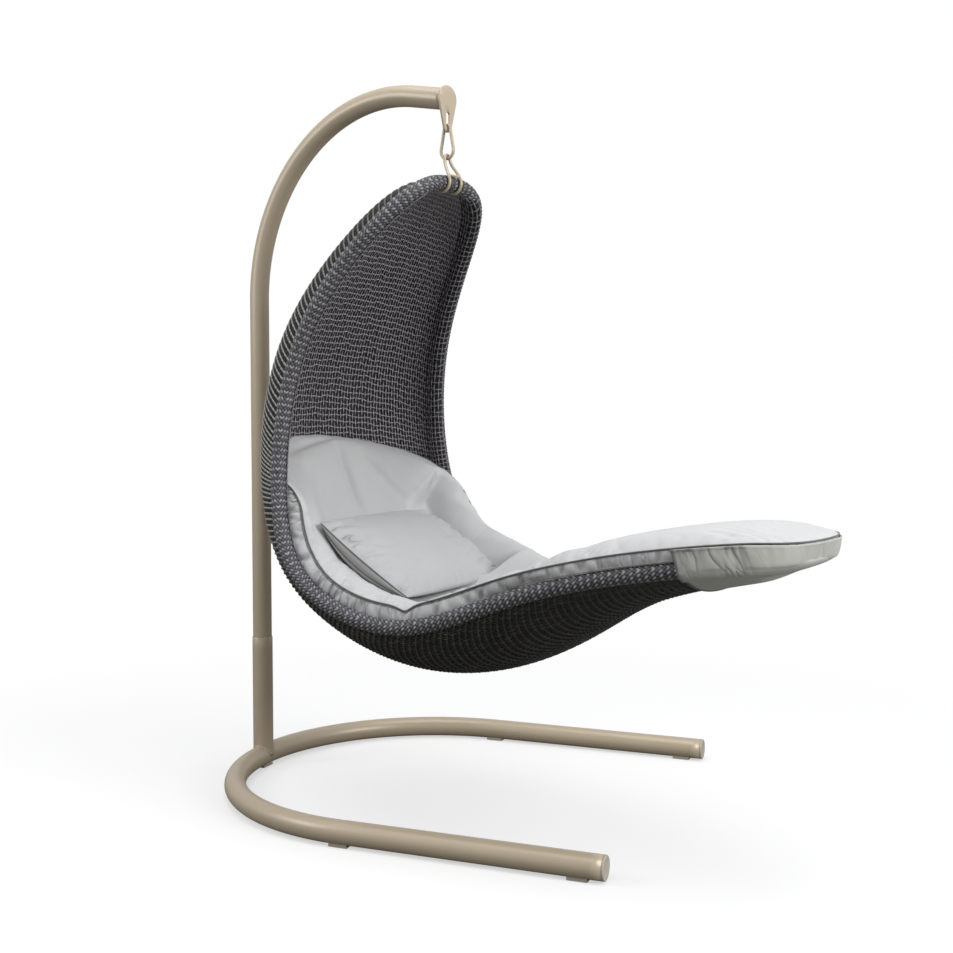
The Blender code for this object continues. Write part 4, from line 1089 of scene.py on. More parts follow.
def build_weave():
    """Two woven faces: weft strands across the shell and stakes from hood to foot, each face on a thin
    close-woven ground. Inside, both pass over and under by turns, cos(pi * (row + stake)); outside the weft
    floats over."""
    whole = even_stations(WEAVE_START, WEAVE_END, WEFT_PITCH, WEAVE_MEASURED_AT)
    for face, sign, strand, stake, ground in (
        ("inner", -1.0, INNER_STRAND, INNER_STRAND, INNER_GROUND),
        ("outer", 1.0, OUTER_SHADED_STRAND, OUTER_SHADED_STAKE, OUTER_GROUND),
    ):
        inside = sign < 0
        off, ground_off, sway = INNER_HEIGHTS if inside else OUTER_HEIGHTS
        rows = whole[whole < INNER_END] if inside else whole
        laps, fine, slant = (LAP_STAKES, 2, 1.0) if inside else (0, 1, OUTER_SLANT)

        def lay(kind, finish, u, w, wave, stray, raised, size, tones, crest):
            """One set of this face's strands: inside they stray, outside they are raised or sunk."""
            place, out = woven_sheet(u, w, sign, off)
            if inside:
                place = place + np.gradient(place, axis=0) * stray[..., None]
                lift = sign * (off + sway * wave)
            else:
                lift = off + raised + (sway + UNDER_WAVE * step_up(u, *UNDERSIDE)) * wave
            points, faces, chart, facts = strands(place, out, lift, *size, tones, crest)
            name, points = f"{face}_{kind}", hung(points)
            piece(name, points, faces, [finish], "chair", (), chart, facts, tidy=False)

        numbers = np.arange(len(rows))
        columns = np.arange(-laps * fine, (STAKES + laps) * fine + 1) / fine
        w = columns[None, :] * 2 / STAKES - 1
        u = sagging(rows[:, None], w, slant)
        wave = np.cos(math.pi * (numbers[:, None] + columns[None, :]))
        apart = 40 * hashed(numbers, seed=6.0)[:, None]
        stray = WEFT_WANDER * ripple(columns[None, :] * 0.7 + apart, seed=3.0)
        if inside:
            # Painted light: crest sets the strands' painted highlight, and painted shade where they dive
            # under, tuck under the lap and lie next to the rim
            tucked = step_up(np.abs(w), 1 + (2 * laps - 1.5) / STAKES, 1 + (2 * laps - 0.5) / STAKES)
            crest = (0.5 + 0.5 * wave) * (1 - tucked) * (1 - RIM_SHADE * step_up(np.abs(w), *AT_RIM))
        else:
            # Painted light: the outer wefts' painted highlight is weaker at the hood's top, which the hood
            # shades, and on the underside, which is in shadow, where it comes as random painted glints
            under = step_up(u, *UNDERSIDE)
            floated = 0.85 - 0.35 * under
            painted_lighting = (0.62 + 0.38 * step_up(u, *HOOD_SHADED)) * (1 - 0.70 * under)
            painted_glints = 1 - under * (0.65 - 1.1 * hashed(np.arange(u.size), seed=12.0).reshape(u.shape))
            crest = np.clip((floated + (1 - floated) * wave) * painted_lighting * painted_glints, 0.0, 1.0)
        size = (WEFT_WIDE if inside else OUTER_WEFT_WIDE, WEFT_THICK)
        tones = hashed(numbers, seed=3.1 + sign)
        lay("weft", strand, u, w, wave, stray, WEFT_RAISED, size, tones, crest)

        stakes = np.arange(1 - laps, STAKES + laps)
        steps = np.arange((len(rows) - 1) * fine + 1) / fine
        w = stakes[:, None] * 2 / STAKES - 1
        u = sagging(np.interp(steps, numbers, rows)[None, :], w, slant)
        wave = -np.cos(math.pi * (stakes[:, None] + steps[None, :]))
        apart = 40 * hashed(stakes, seed=9.0)[:, None]
        stray = STAKE_WANDER * ripple(steps[None, :] * 0.6 + apart, seed=5.0)
        # Painted highlight on the stakes' crests, giving way to painted shade where they dive under and next
        # to the rim
        crest = (0.5 + 0.5 * wave) * (1 - RIM_SHADE * step_up(np.abs(w), *AT_RIM))
        # Outside, the stakes' painted highlight stays faint, with random painted glints on the underside
        if not inside:
            painted_glints = hashed(np.arange(u.size), seed=15.0).reshape(u.shape)
            crest = crest * (0.25 + 0.75 * step_up(u, *UNDERSIDE) * painted_glints)
        size = (STAKE_WIDE, STAKE_THICK)
        tones = hashed(stakes, seed=8.7 + sign)
        lay("stakes", stake, u, w, wave, stray, -STAKE_SUNK, size, tones, crest)

        lap = np.linspace(1.0, 1 + 2 * laps / STAKES, GROUND_LAP_COLUMNS + 1)[1:] if inside else np.zeros(0)
        w = np.concatenate([-lap[::-1], np.linspace(-1.0, 1.0, GROUND_COLUMNS), lap])[None, :]
        u = np.interp(np.linspace(0, len(whole) - 1, GROUND_ROWS), np.arange(len(whole)), whole)[:, None]
        place, out = woven_sheet(u, w, sign, off)
        grids = [place + out * (sign * depth) for depth in (ground_off, CAVITY_HALF)]
        points = hung(np.concatenate([grid.reshape(-1, 3) for grid in grids]))
        corners, chart = double_sheet(*place.shape[:2])
        lie = np.stack(np.broadcast_arrays(u * GROUND_THREADS, w * GROUND_THREADS, 0.0), -1)
        facts = {"lie": np.concatenate([lie.reshape(-1, 3)] * 2)}
        name, nodes = f"{face}_ground", [f"woven_skin_{face}"]
        piece(name, points, [corners], [ground], "chair", nodes, chart, facts)


def build_rim():
    """The braided sleeve round the rim, one piece a side, down to inside the foot sleeve. Two sets of
    strands cross on it and turn back at a ridge, p = run / pitch + |turns| * strands and
    q = run / pitch - |turns| * strands. The first, light one passes over two and under one: it is on top
    unless floor(p) + floor(q) divides by three. A strand's height is (1 - (2 * p - 1)^2)^0.6 over its
    width, times an arch over the strands that it crosses."""
    fine = np.linspace(0.0, BRAID_END, 4000)
    run = run_length(SHELL.rim(fine), 0)
    run_at = np.linspace(0.0, run[-1], int(run[-1] / BRAID_STEP) + 1)
    u = np.interp(run_at, run, fine)
    out, up = SHELL.rim_frame(u)
    seen = np.linspace(*BRAID_SEEN, 47)
    hidden = np.linspace(*BRAID_HIDDEN, 6)[1:-1]
    turn = np.concatenate([seen, hidden])
    share = np.abs(turn - BRAID_RIDGE) * BRAID_STRANDS / (2 * math.pi)
    p, q = run_at[:, None] / BRAID_PITCH + share, run_at[:, None] / BRAID_PITCH - share
    turnings = (np.floor(p) + np.floor(q)) % 3
    over = turnings > 0
    width = np.where(over, p, q) % 1.0
    length = np.where(over, (turnings - 1 + q % 1.0) / 2, p % 1.0)
    # The crest shapes the braid and also sets its painted shade in the grooves
    crest = np.maximum(1 - (2 * width - 1) ** 2, 0.0) ** 0.6 * (0.40 + 0.60 * np.sin(math.pi * length))
    radius = WRAP_RADIUS + BRAID_PROUD - BRAID_GROOVE * (1 - crest)
    spoke = out[:, None] * np.cos(turn)[:, None] + up[:, None] * np.sin(turn)[:, None]
    half = SHELL.rim(u)[:, None] + spoke * radius[..., None]
    ends = np.broadcast_to(SHELL.rim(u[[0, -1]])[:, None], (2,) + half.shape[1:])
    half = np.concatenate([ends[:1], half, ends[1:]])
    chance = hashed(np.floor(p) + 57 * np.floor(q), seed=5.0)
    tone = np.where(over, 0.45 + 0.55 * chance, 0.02 + 0.20 * chance)
    tone, crest = [np.pad(grid, ((1, 1), (0, 0)), "edge").ravel() for grid in (tone, crest)]
    corners, chart = quads(len(half), len(turn), wrap_columns=True)
    for side, mirror, nodes in (("left", 1, ["rim_wrap"]), ("right", -1, [])):
        points = hung((half * (1, mirror, 1)).reshape(-1, 3))
        facts = {"tone": tone, "crest": crest}
        piece(f"braided_rim_{side}", points, [corners], [BRAID], "chair", nodes, chart, facts)


# The pad, the pillow and the foot sleeve


def pad_stations(t, across):
    """Stations of the pad's rows: t runs from its arched top edge to the foot, across from side to side.
    The arch reaches less far down on the near side."""
    across = np.asarray(across)
    side = np.where(across < 0, PAD_NEAR_EDGE, PAD_FAR_EDGE)
    power = np.where(across < 0, PAD_TOP_ARCH, PAD_FAR_ARCH)
    top = PAD_ARCH_TOP + (side - PAD_ARCH_TOP) * np.abs(across) ** power
    top = top + PAD_NEAR_CORNER * step_up(-across, *NEAR_CORNER)
    return top + (PAD_END - top) * t


def over_rim(u):
    """How far the pad has climbed from inside the rim, 0, to lying over it, 1."""
    return step_up(u, *PAD_CLIMBS)


def far_lap(u, across):
    """How far the pad's far edge lies out over the rim, 0 to 1: along the far side of the seat."""
    along = step_up(u, *FAR_LAP_STARTS) * (1 - step_up(u, *FAR_LAP_ENDS))
    return along * np.maximum(across, 0.0) ** 6


def pad_rise(u):
    """Height of the pad's seam over the rim's middle line."""
    return -PAD_TOP_SINK + (PAD_EDGE_RISE + PAD_TOP_SINK) * step_up(u, *PAD_RISES)


def crease(u, across, line, wide, deep):
    """A valley along a line of (station, share across) points: deep * exp(-(distance / wide)^2), fading at
    both ends as the root of a sine."""
    line = np.array(line) * (STATION_LENGTH, PAD_HALF_WIDTH)
    x, y = u * STATION_LENGTH, across * PAD_HALF_WIDTH
    near = np.full(np.shape(x), np.inf)
    fade = np.zeros(np.shape(x))
    pieces = len(line) - 1
    for index in range(pieces):
        run = line[index + 1] - line[index]
        past, beside = x - line[index, 0], y - line[index, 1]
        share = np.clip((past * run[0] + beside * run[1]) / (run @ run), 0.0, 1.0)
        off = np.hypot(past - share * run[0], beside - share * run[1])
        closer = off < near
        near = np.where(closer, off, near)
        fade = np.where(closer, (index + share) / pieces, fade)
    fade = np.sqrt(np.maximum(np.sin(math.pi * np.clip(fade, 0.04, 0.96)), 0.0))
    return deep * np.exp(-((near / wide) ** 2)) * fade


def pad_seam(u, across):
    """The piped seam: inside the rim round the seat, out over it along the legs and on the far side, and
    pinched down at one place on the near side."""
    out, up = SHELL.rim_frame(u)
    lap = far_lap(u, across)
    drawn_in = PAD_EDGE_INSET + PAD_BACK_INSET * (1 - step_up(u, *BACK_ENDS))
    away = PAD_FOOT_OVERHANG * over_rim(u) - drawn_in * (1 - over_rim(u)) + PAD_FAR_OUT * lap
    pinch = np.exp(-((np.abs(u - PINCH_AT) / PINCH_WIDTH) ** 1.3)) * np.maximum(-across, 0.0) ** 14
    height = pad_rise(u) - PINCH_DROP * pinch + PAD_FAR_LIFT * lap
    return SHELL.rim(u) + out * away[..., None] + up * height[..., None]


def pad_face(u, across):
    """The pad's upper side at rest: seam + dish * (1 - |across|^2.4) down into the seat, less a crown over
    the legs and less a puff inside the seam, 2.3 * |across|^3 * (1 - |across|^8)."""
    up = SHELL.rim_frame(u)[1]
    place = pad_seam(u, across)
    depth = np.linalg.norm(SHELL.depth(u), axis=-1)
    thick = PAD_THICKNESS + PAD_SEAT_EXTRA * step_up(u, *SEAT_FILLS) * (1 - step_up(u, *SEAT_THINS))
    dish = np.maximum(depth + pad_rise(u) - SHELL_HALF - thick, 0.01) * (1 - step_up(u, *DISH_ENDS))
    dish = dish - PAD_LEG_CROWN * step_up(u, *CROWN_STARTS) * (1 - step_up(u, *CROWN_ENDS))
    share = np.abs(across)
    puff = PAD_PUFF * (1 - 0.35 * step_up(u, *PUFF_EASES)) * (1 - step_up(u, *PUFF_ENDS))
    puff = puff + PAD_FAR_PUFF * far_lap(u, np.sign(across))
    sunk = dish * (1 - share**2.4) - puff * 2.3 * share**3 * (1 - share**8)
    for line, wide, deep in PAD_CREASES:
        sunk = sunk + crease(u, across, line, wide, deep)
    place = place - up * sunk[..., None]
    place[..., 1] = place[..., 1] * across
    return place - pressed(place)


def pressed(place):
    """How far the pad's face gives way under the pillow, along the pillow's own upright: to the pillow's
    floor, plane - (gusset * lens + sink * hump), wherever the face stands over it."""
    ahead, left, up = pillow_axes()
    off = place - np.array(PILLOW_CENTRE)
    x, y = off @ ahead / (PILLOW_LENGTH / 2), off @ left / (PILLOW_WIDTH / 2)
    hump, lens = pillow_form(np.clip(x, -1.0, 1.0), np.clip(y, -1.0, 1.0))
    over = off @ up + PILLOW_GUSSET * lens + PILLOW_SINK * hump + PILLOW_CLEARANCE
    fade = 1 - step_up(np.maximum(np.abs(x), np.abs(y)), 1.0, 1.10)
    return up * (np.maximum(over, 0.0) * fade)[..., None]


def pad_floor(u, across):
    """The pad's underside: along the inner weave, then up the rim's braid to the band's lower edge, and
    level over the foot."""
    share = np.abs(across)
    reach = SHELL.angle_off_rim(u, PAD_FLOOR_TO_RIM)
    turn = reach * np.clip(share / PAD_FLOOR_SHARE, 0.0, 1.0) * np.sign(across)
    inner = SHELL.at(u, turn) - SHELL.normal(u, turn) * (SHELL_HALF + PAD_FLOOR_CLEARANCE)
    out, up = SHELL.rim_frame(u)
    climbed = np.maximum(over_rim(u), 0.72 * far_lap(u, np.sign(across)))
    angle = PAD_EDGE_INSIDE + (PAD_EDGE_OVER - PAD_EDGE_INSIDE) * climbed
    clear = LAP_RADIUS + INNER_WAVE + WEFT_THICK - PAD_FLOOR_DROP * step_up(u, *INNER_LAP_ENDS)
    spoke = out * np.cos(angle)[..., None] + up * np.sin(angle)[..., None]
    edge = SHELL.rim(u) + clear[..., None] * spoke
    edge[..., 1] = edge[..., 1] * np.sign(across)
    part = np.clip((share - PAD_FLOOR_SHARE) / (1 - PAD_FLOOR_SHARE), 0.0, 1.0)[..., None]
    under = inner * (1 - part) + edge * part
    height = WRAP_RADIUS + PAD_RIM_CLEARANCE - PAD_LID_DROP * share**6
    lid = SHELL.rim(u) + out * PAD_FOOT_OVERHANG + up * height[..., None]
    lid[..., 1] = lid[..., 1] * across
    flat = step_up(u, *LID_STARTS)[..., None]
    return under * (1 - flat) + lid * flat


def pad_sheets(rows, columns):
    """Grids of the pad's upper side and underside with their stations and shares across, closer together at
    the foot and at the sides. The upper side comes down to the underside round the arched top edge as a
    quarter of an ellipse."""
    t = np.linspace(0.0, 1.0, rows)
    t = t + 0.20 * np.sin(math.pi * t) * t
    across = np.linspace(-1.0, 1.0, columns)
    across = np.sign(across) * np.abs(across) ** 0.9
    u = pad_stations(t[:, None], across[None, :])
    across = np.broadcast_to(across, u.shape)
    face, floor = pad_face(u, across), pad_floor(u, across)
    lead = np.clip((u - pad_stations(0.0, across)) / PAD_TOP_ROUNDING, 0.0, 1.0)
    share = PAD_TOP_THICKNESS + (1 - PAD_TOP_THICKNESS) * np.sqrt(1 - (1 - lead) ** 2)
    face = floor + (face - floor) * share[..., None]
    return face, floor, u, across


def sheet_lie(face, count):
    """Where a cushion's points lie on its cloth, in metres: filled in for the face and, alike, the floor."""
    lie = np.zeros((count, 3))
    flat = np.stack([run_length(face, 0), run_length(face, 1)], -1).reshape(-1, 2)
    lie[:2 * len(flat), :2] = np.concatenate([flat, flat])
    return lie


def seam_facts(around, away, drawn):
    """Attributes of a cloth's points for its creases: the place along the nearest seam, the distance from
    it and how strongly the cloth is drawn there."""
    return {"around": around.ravel(), "away": away.ravel(), "drawn": drawn.ravel()}


def face_gathers(face):
    """Depth of the gathers on the pad's upper side, drawn in from both seams and down from the arched top,
    with a slow unevenness in between."""
    run, wide = run_length(face, 0), run_length(face, 1)
    from_left, from_right = wide, wide[:, -1:] - wide
    drawn = gathers(run[:, :1], from_left, *PAD_SIDE_FOLDS, seed=1.0)
    drawn = drawn + gathers(run[:, -1:], from_right, *PAD_SIDE_FOLDS, seed=9.0)
    drawn = drawn + 0.8 * gathers(wide[:1], run, *PAD_TOP_FOLDS, seed=4.0) * step_up(run, 0.02, 0.06)
    inside = 1 - np.exp(-np.minimum(from_left, from_right) / 0.006)
    uneven = 0.0030 * ripple(run * 9 + wide * 5, seed=6.0) * ripple(wide * 11 - run * 4, seed=7.0)
    return (PAD_GATHER * drawn + uneven) * inside


def swell(points, faces, held, slack, spare, pressure, most):
    """Points of a cloth after some frames of swelling under pressure with no gravity. Held points stay,
    and where slack is 1 the cloth is longer than its shape by the spare share. No point moves by more than
    most."""
    scene = bpy.context.scene
    mesh = bpy.data.meshes.new("swelling")
    mesh.from_pydata(points.tolist(), [], faces.tolist())
    work = bpy.data.objects.new("swelling", mesh)
    scene.collection.objects.link(work)
    for name, weights in (("held", held), ("slack", slack)):
        group = work.vertex_groups.new(name=name)
        steps = np.round(np.clip(weights, 0.0, 1.0) * 10).astype(int)
        for step in range(1, 11):
            chosen = np.where(steps == step)[0]
            if len(chosen):
                group.add(chosen.tolist(), step / 10, "REPLACE")
    cloth = work.modifiers.new("swelling", "CLOTH")
    settings = {
        "quality": 5,
        "mass": 0.25,
        "tension_stiffness": 15.0,
        "compression_stiffness": 15.0,
        "shear_stiffness": 5.0,
        "bending_stiffness": 0.15,
        "tension_damping": 8.0,
        "compression_damping": 8.0,
        "shear_damping": 8.0,
        "air_damping": 2.0,
        "use_pressure": True,
        "uniform_pressure_force": pressure,
        "vertex_group_mass": "held",
        "vertex_group_shrink": "slack",
        "shrink_min": 0.0,
        "shrink_max": -spare,
    }
    for name, value in settings.items():
        setattr(cloth.settings, name, value)
    cloth.settings.effector_weights.gravity = 0.0
    cloth.collision_settings.use_collision = False
    cloth.collision_settings.use_self_collision = False
    for number in range(1, SWELL_FRAMES + 1):
        scene.frame_set(number)
    seen = work.evaluated_get(bpy.context.evaluated_depsgraph_get())
    moved = np.empty(len(points) * 3, np.float32)
    seen.to_mesh().vertices.foreach_get("co", moved)
    seen.to_mesh_clear()
    bpy.data.objects.remove(work)
    scene.frame_set(1)
    shift = moved.reshape(-1, 3).astype(float) - points
    far = np.maximum(np.linalg.norm(shift, axis=1, keepdims=True), 1e-9)
    return points + shift * (np.tanh(far / most) * most / far)


def boxed_cushion(face, floor, band_rows, bulge, out):
    """Points and faces of a cushion: face grid, floor grid and the band between them, which bows out by
    bulge * sin(pi * share) along the outward vectors. The numbers are those of the band's points, row by
    row, from the face's edge to the floor's."""
    rows, columns = face.shape[:2]
    count = rows * columns
    edge = loop_round(np.arange(count).reshape(rows, columns))
    top, low = face.reshape(-1, 3)[edge], floor.reshape(-1, 3)[edge]
    share = (np.arange(1, band_rows) / band_rows)[:, None, None]
    band = top + (low - top) * share + out * (bulge * np.sin(math.pi * share[..., 0]))[..., None]
    numbers = 2 * count + np.arange((band_rows - 1) * len(edge)).reshape(band_rows - 1, len(edge))
    numbers = np.concatenate([edge[None], numbers, edge[None] + count])
    points = np.concatenate([face.reshape(-1, 3), floor.reshape(-1, 3), band.reshape(-1, 3)])
    sheet, sheet_chart = quads(rows, columns)
    flat, band_chart = quads(band_rows + 1, len(edge), wrap_columns=True)
    wall = numbers.ravel()[flat]
    chart = np.concatenate([
        sheet_chart * (0.44, 0.98) + 0.005,
        sheet_chart[:, ::-1] * (0.44, 0.98) + (0.455, 0.005),
        band_chart[..., ::-1] * (0.09, 0.98) + (0.905, 0.005),
    ])
    return points, [sheet[:, ::-1], sheet + count, wall], chart.reshape(-1, 2), numbers


def piping(name, line, first, sides, closed=False):
    """Dark piping along a seam."""
    points, corners, chart = bar(line, PIPING_RADIUS, first, sides, closed)
    lie = np.broadcast_to(np.arange(len(points))[:, None] * 0.0004, points.shape)
    piece(name, points, [corners], [DARK_CLOTH], "chair", (), chart, {"lie": lie})


def build_pad():
    """The boxed pad with its gathered band and piping."""
    rows, columns, band_rows = PAD_ROWS, PAD_COLUMNS, PAD_BAND_ROWS
    count = rows * columns
    face, floor, u, across = pad_sheets(rows, columns)
    edge = loop_round(np.arange(count).reshape(rows, columns))
    top, low = face.reshape(-1, 3)[edge], floor.reshape(-1, 3)[edge]
    rim_out = SHELL.rim_frame(u.ravel()[edge])[0]
    rim_out[:, 1] *= np.sign(across.ravel()[edge])
    run = unit(np.roll(top, -1, 0) - np.roll(top, 1, 0))
    square = unit(rim_out - run * (rim_out * run).sum(1, keepdims=True))
    tall = np.linalg.norm(low - top, axis=1)
    around = run_length(top, 0)

    def folds(share):
        """Gathers drawn down from the piping and, weaker, up from the rim, shallow in a low band."""
        drawn = gathers(around, share * tall, *BAND_FOLDS_DOWN, seed=21.0)
        drawn = drawn + 0.6 * gathers(around, (1 - share) * tall, *BAND_FOLDS_UP, seed=33.0)
        free = np.sin(math.pi * np.clip(share, 0.10, 0.90)) * np.minimum(tall / 0.04, 1.0)
        return BAND_GATHER * drawn * free

    points, faces, chart, numbers = boxed_cushion(face, floor, band_rows, PAD_BAND_BULGE * tall, square)
    upper = np.concatenate([np.arange(count), numbers[1:].ravel()])
    place = np.full(len(points), -1)
    place[upper] = np.arange(len(upper))
    held = np.zeros(len(points))
    held[edge] = 1.0
    held[numbers[-1]] = 1.0
    slack = np.zeros(len(points))
    from_side = np.minimum(np.arange(columns), np.arange(columns)[::-1])
    level = 1 - 0.8 * step_up(u, *LEGS_TAUT)
    slack[:count] = ((0.12 + 0.5 * np.exp(-((from_side / 7.0) ** 2))) * level).ravel()
    slack[numbers[1:-1]] = 1.0
    cloth_faces = place[np.concatenate([faces[0], faces[2]])]
    points[upper] = swell(
        hung(points[upper]), cloth_faces, held[upper], slack[upper], spare=0.04, pressure=2.0, most=0.022
    )
    rest = np.setdiff1d(np.arange(len(points)), upper)
    points[rest] = hung(points[rest])
    outward = turned_about_z(square, ARM_TURN)
    lift = turned_about_z(SHELL.rim_frame(u)[1], ARM_TURN)
    calm = 1 - 0.65 * step_up(u, *LEGS_CALM)
    steps = np.arange(1, band_rows)[:, None] / band_rows
    points[:count] -= (lift * (face_gathers(face) * calm)[..., None]).reshape(-1, 3)
    points[numbers[1:-1]] -= outward * folds(steps)[..., None]
    along, wide = run_length(face, 0), run_length(face, 1)
    lie = sheet_lie(face, len(points))
    lie[numbers[1:-1], 0] = around
    lie[numbers[1:-1], 1] = np.arange(1, band_rows)[:, None] * 0.006
    seam = np.zeros((3, len(points)))
    beside = wide < wide[:, -1:] - wide
    seam[0, :count] = np.where(beside, along[:, :1], along[:, -1:] + 9.0).ravel()
    seam[1, :count] = np.minimum(wide, wide[:, -1:] - wide).ravel()
    seam[2, :count] = (0.5 * calm).ravel()
    seam[0, numbers[1:-1]] = around + 20.0
    seam[1, numbers[1:-1]] = np.minimum(steps, 1 - steps) * tall
    seam[2, numbers[1:-1]] = 1.8
    made = piece(
        "seat_cushion", points, [np.concatenate(faces)], [PALE_CLOTH], "chair", ["seat_pad"],
        chart, {"lie": lie, **seam_facts(*seam)}
    )

    first, last = 2 * columns + rows - 3, columns - 1
    order = np.concatenate([np.arange(len(edge), first, -1) % len(edge), np.arange(first, last - 1, -1)])
    seam = points[edge][order]
    outward = outward[order]
    for _ in range(6):
        seam[1:-1] = (seam[:-2] + 2 * seam[1:-1] + seam[2:]) / 4
    piping("pad_piping", seam + outward * PIPING_OUT, outward[0], 10)


def pillow_axes():
    """The pillow's unit vectors: down its slope, to its left, and out of its upper face."""
    ahead = np.array([math.cos(PILLOW_SLOPE), 0.0, -math.sin(PILLOW_SLOPE)])
    up = np.array([math.sin(PILLOW_SLOPE), 0.0, math.cos(PILLOW_SLOPE)])
    return turned_about_z(np.stack([ahead, np.array([0.0, 1.0, 0.0]), up]), PILLOW_TURN)


def pillow_form(x, y):
    """The pillow's heights over its rectangle, each up to 1: a hump (1 - |x|^3)^0.7 * (1 - |y|^4)^0.5, and a
    lens cos(pi * x / 2)^0.8 along both ends."""
    hump = (1 - np.abs(x) ** 3) ** 0.7 * (1 - np.abs(y) ** 4) ** 0.5
    return hump, np.broadcast_to(np.cos(math.pi * x / 2) ** 0.8, hump.shape)


def build_pillow():
    """The lumbar pillow, on a sloping rectangle: face = plane + swell * hump and floor = plane - sink * hump
    - gusset * lens, with a gusset between them at both ends, its cloth darkened as painted shade."""
    rows, columns, band_rows = PILLOW_ROWS, PILLOW_COLUMNS, PILLOW_BAND_ROWS
    x, y = np.linspace(-1.0, 1.0, rows)[:, None], np.linspace(-1.0, 1.0, columns)[None, :]
    ahead, left, up = pillow_axes()
    hump, lens = pillow_form(x, y)
    bow = PILLOW_BOW * (1 - x**2) * y**3
    flat = np.array(PILLOW_CENTRE) + ahead * (x * PILLOW_LENGTH / 2 * (1 - 0.03 * y**2))[..., None]
    flat = flat + left * (y * PILLOW_WIDTH / 2 + bow)[..., None]
    face = flat + up * (PILLOW_SWELL * hump)[..., None]
    floor = flat - up * (PILLOW_GUSSET * lens + PILLOW_SINK * hump)[..., None]
    edge = loop_round(np.arange(rows * columns).reshape(rows, columns))
    out = unit(flat.reshape(-1, 3)[edge] - np.array(PILLOW_CENTRE))
    bulge = np.where(lens.ravel()[edge] > 0.02, PILLOW_BULGE, 0.0)
    from_ends, from_sides = (1 - np.abs(y)) * PILLOW_WIDTH / 2, (1 - np.abs(x)) * PILLOW_LENGTH / 2
    from_edge = np.minimum(from_ends, from_sides)
    drawn = gathers(x * PILLOW_LENGTH / 2 + 7.0, from_ends, *PILLOW_END_FOLDS, seed=2.0)
    drawn = drawn + 0.7 * gathers(y * PILLOW_WIDTH / 2 + 5.0, from_sides, *PILLOW_SIDE_FOLDS, seed=14.0)
    drawn = drawn * (1 - np.exp(-from_edge / 0.008))
    points, faces, chart, numbers = boxed_cushion(face, floor, band_rows, bulge, out)
    count = rows * columns
    held = np.zeros(len(points))
    held[numbers] = 1.0
    slack = np.full(len(points), 0.4)
    slack[:count] = (0.25 + 0.75 * np.exp(-((from_edge / 0.05) ** 2))).ravel()
    whole = np.concatenate(faces)
    points = swell(hung(points), whole, held, slack, spare=0.05, pressure=3.0, most=0.020)
    points[:count] -= turned_about_z(up, ARM_TURN) * (PILLOW_GATHER * drawn).reshape(-1, 1)
    lie = sheet_lie(face, len(points))
    lie[numbers[1:-1]] = np.arange(len(edge))[None, :, None] * 0.004
    left_end, right_end = columns - 1, 2 * columns + rows - 3
    ends = np.zeros(len(edge), bool)
    ends[left_end:left_end + rows - 1] = True
    ends[right_end:] = True
    shade = np.zeros(len(whole), int)
    shade[len(faces[0]) + len(faces[1]):] = np.tile(ends, band_rows)
    seam = np.zeros((3, len(points)))
    seam[0, :count] = np.broadcast_to(x * PILLOW_LENGTH / 2 + 0.4 * np.sign(y), hump.shape).ravel()
    seam[1, :count] = np.broadcast_to(from_ends, hump.shape).ravel()
    seam[2, :count] = (1.7 * step_up(from_sides - 0.3 * from_ends, -0.005, 0.03)).ravel()
    made = piece(
        "lumbar_cushion", points, [whole], [PILLOW_SHADED_CLOTH, GUSSET_SHADED_CLOTH], "chair",
        ["lumbar_pillow"], chart, {"lie": lie, **seam_facts(*seam)}, which=shade
    )
    for end, where in (("left", slice(left_end, left_end + rows)), ("right", slice(right_end, None))):
        upper, lower = points[numbers[0][where]], points[numbers[-1][where]]
        line = np.concatenate([upper, lower[-2:0:-1]])
        piping(f"pillow_piping_{end}", line, turned_about_z(up, ARM_TURN), 8, closed=True)


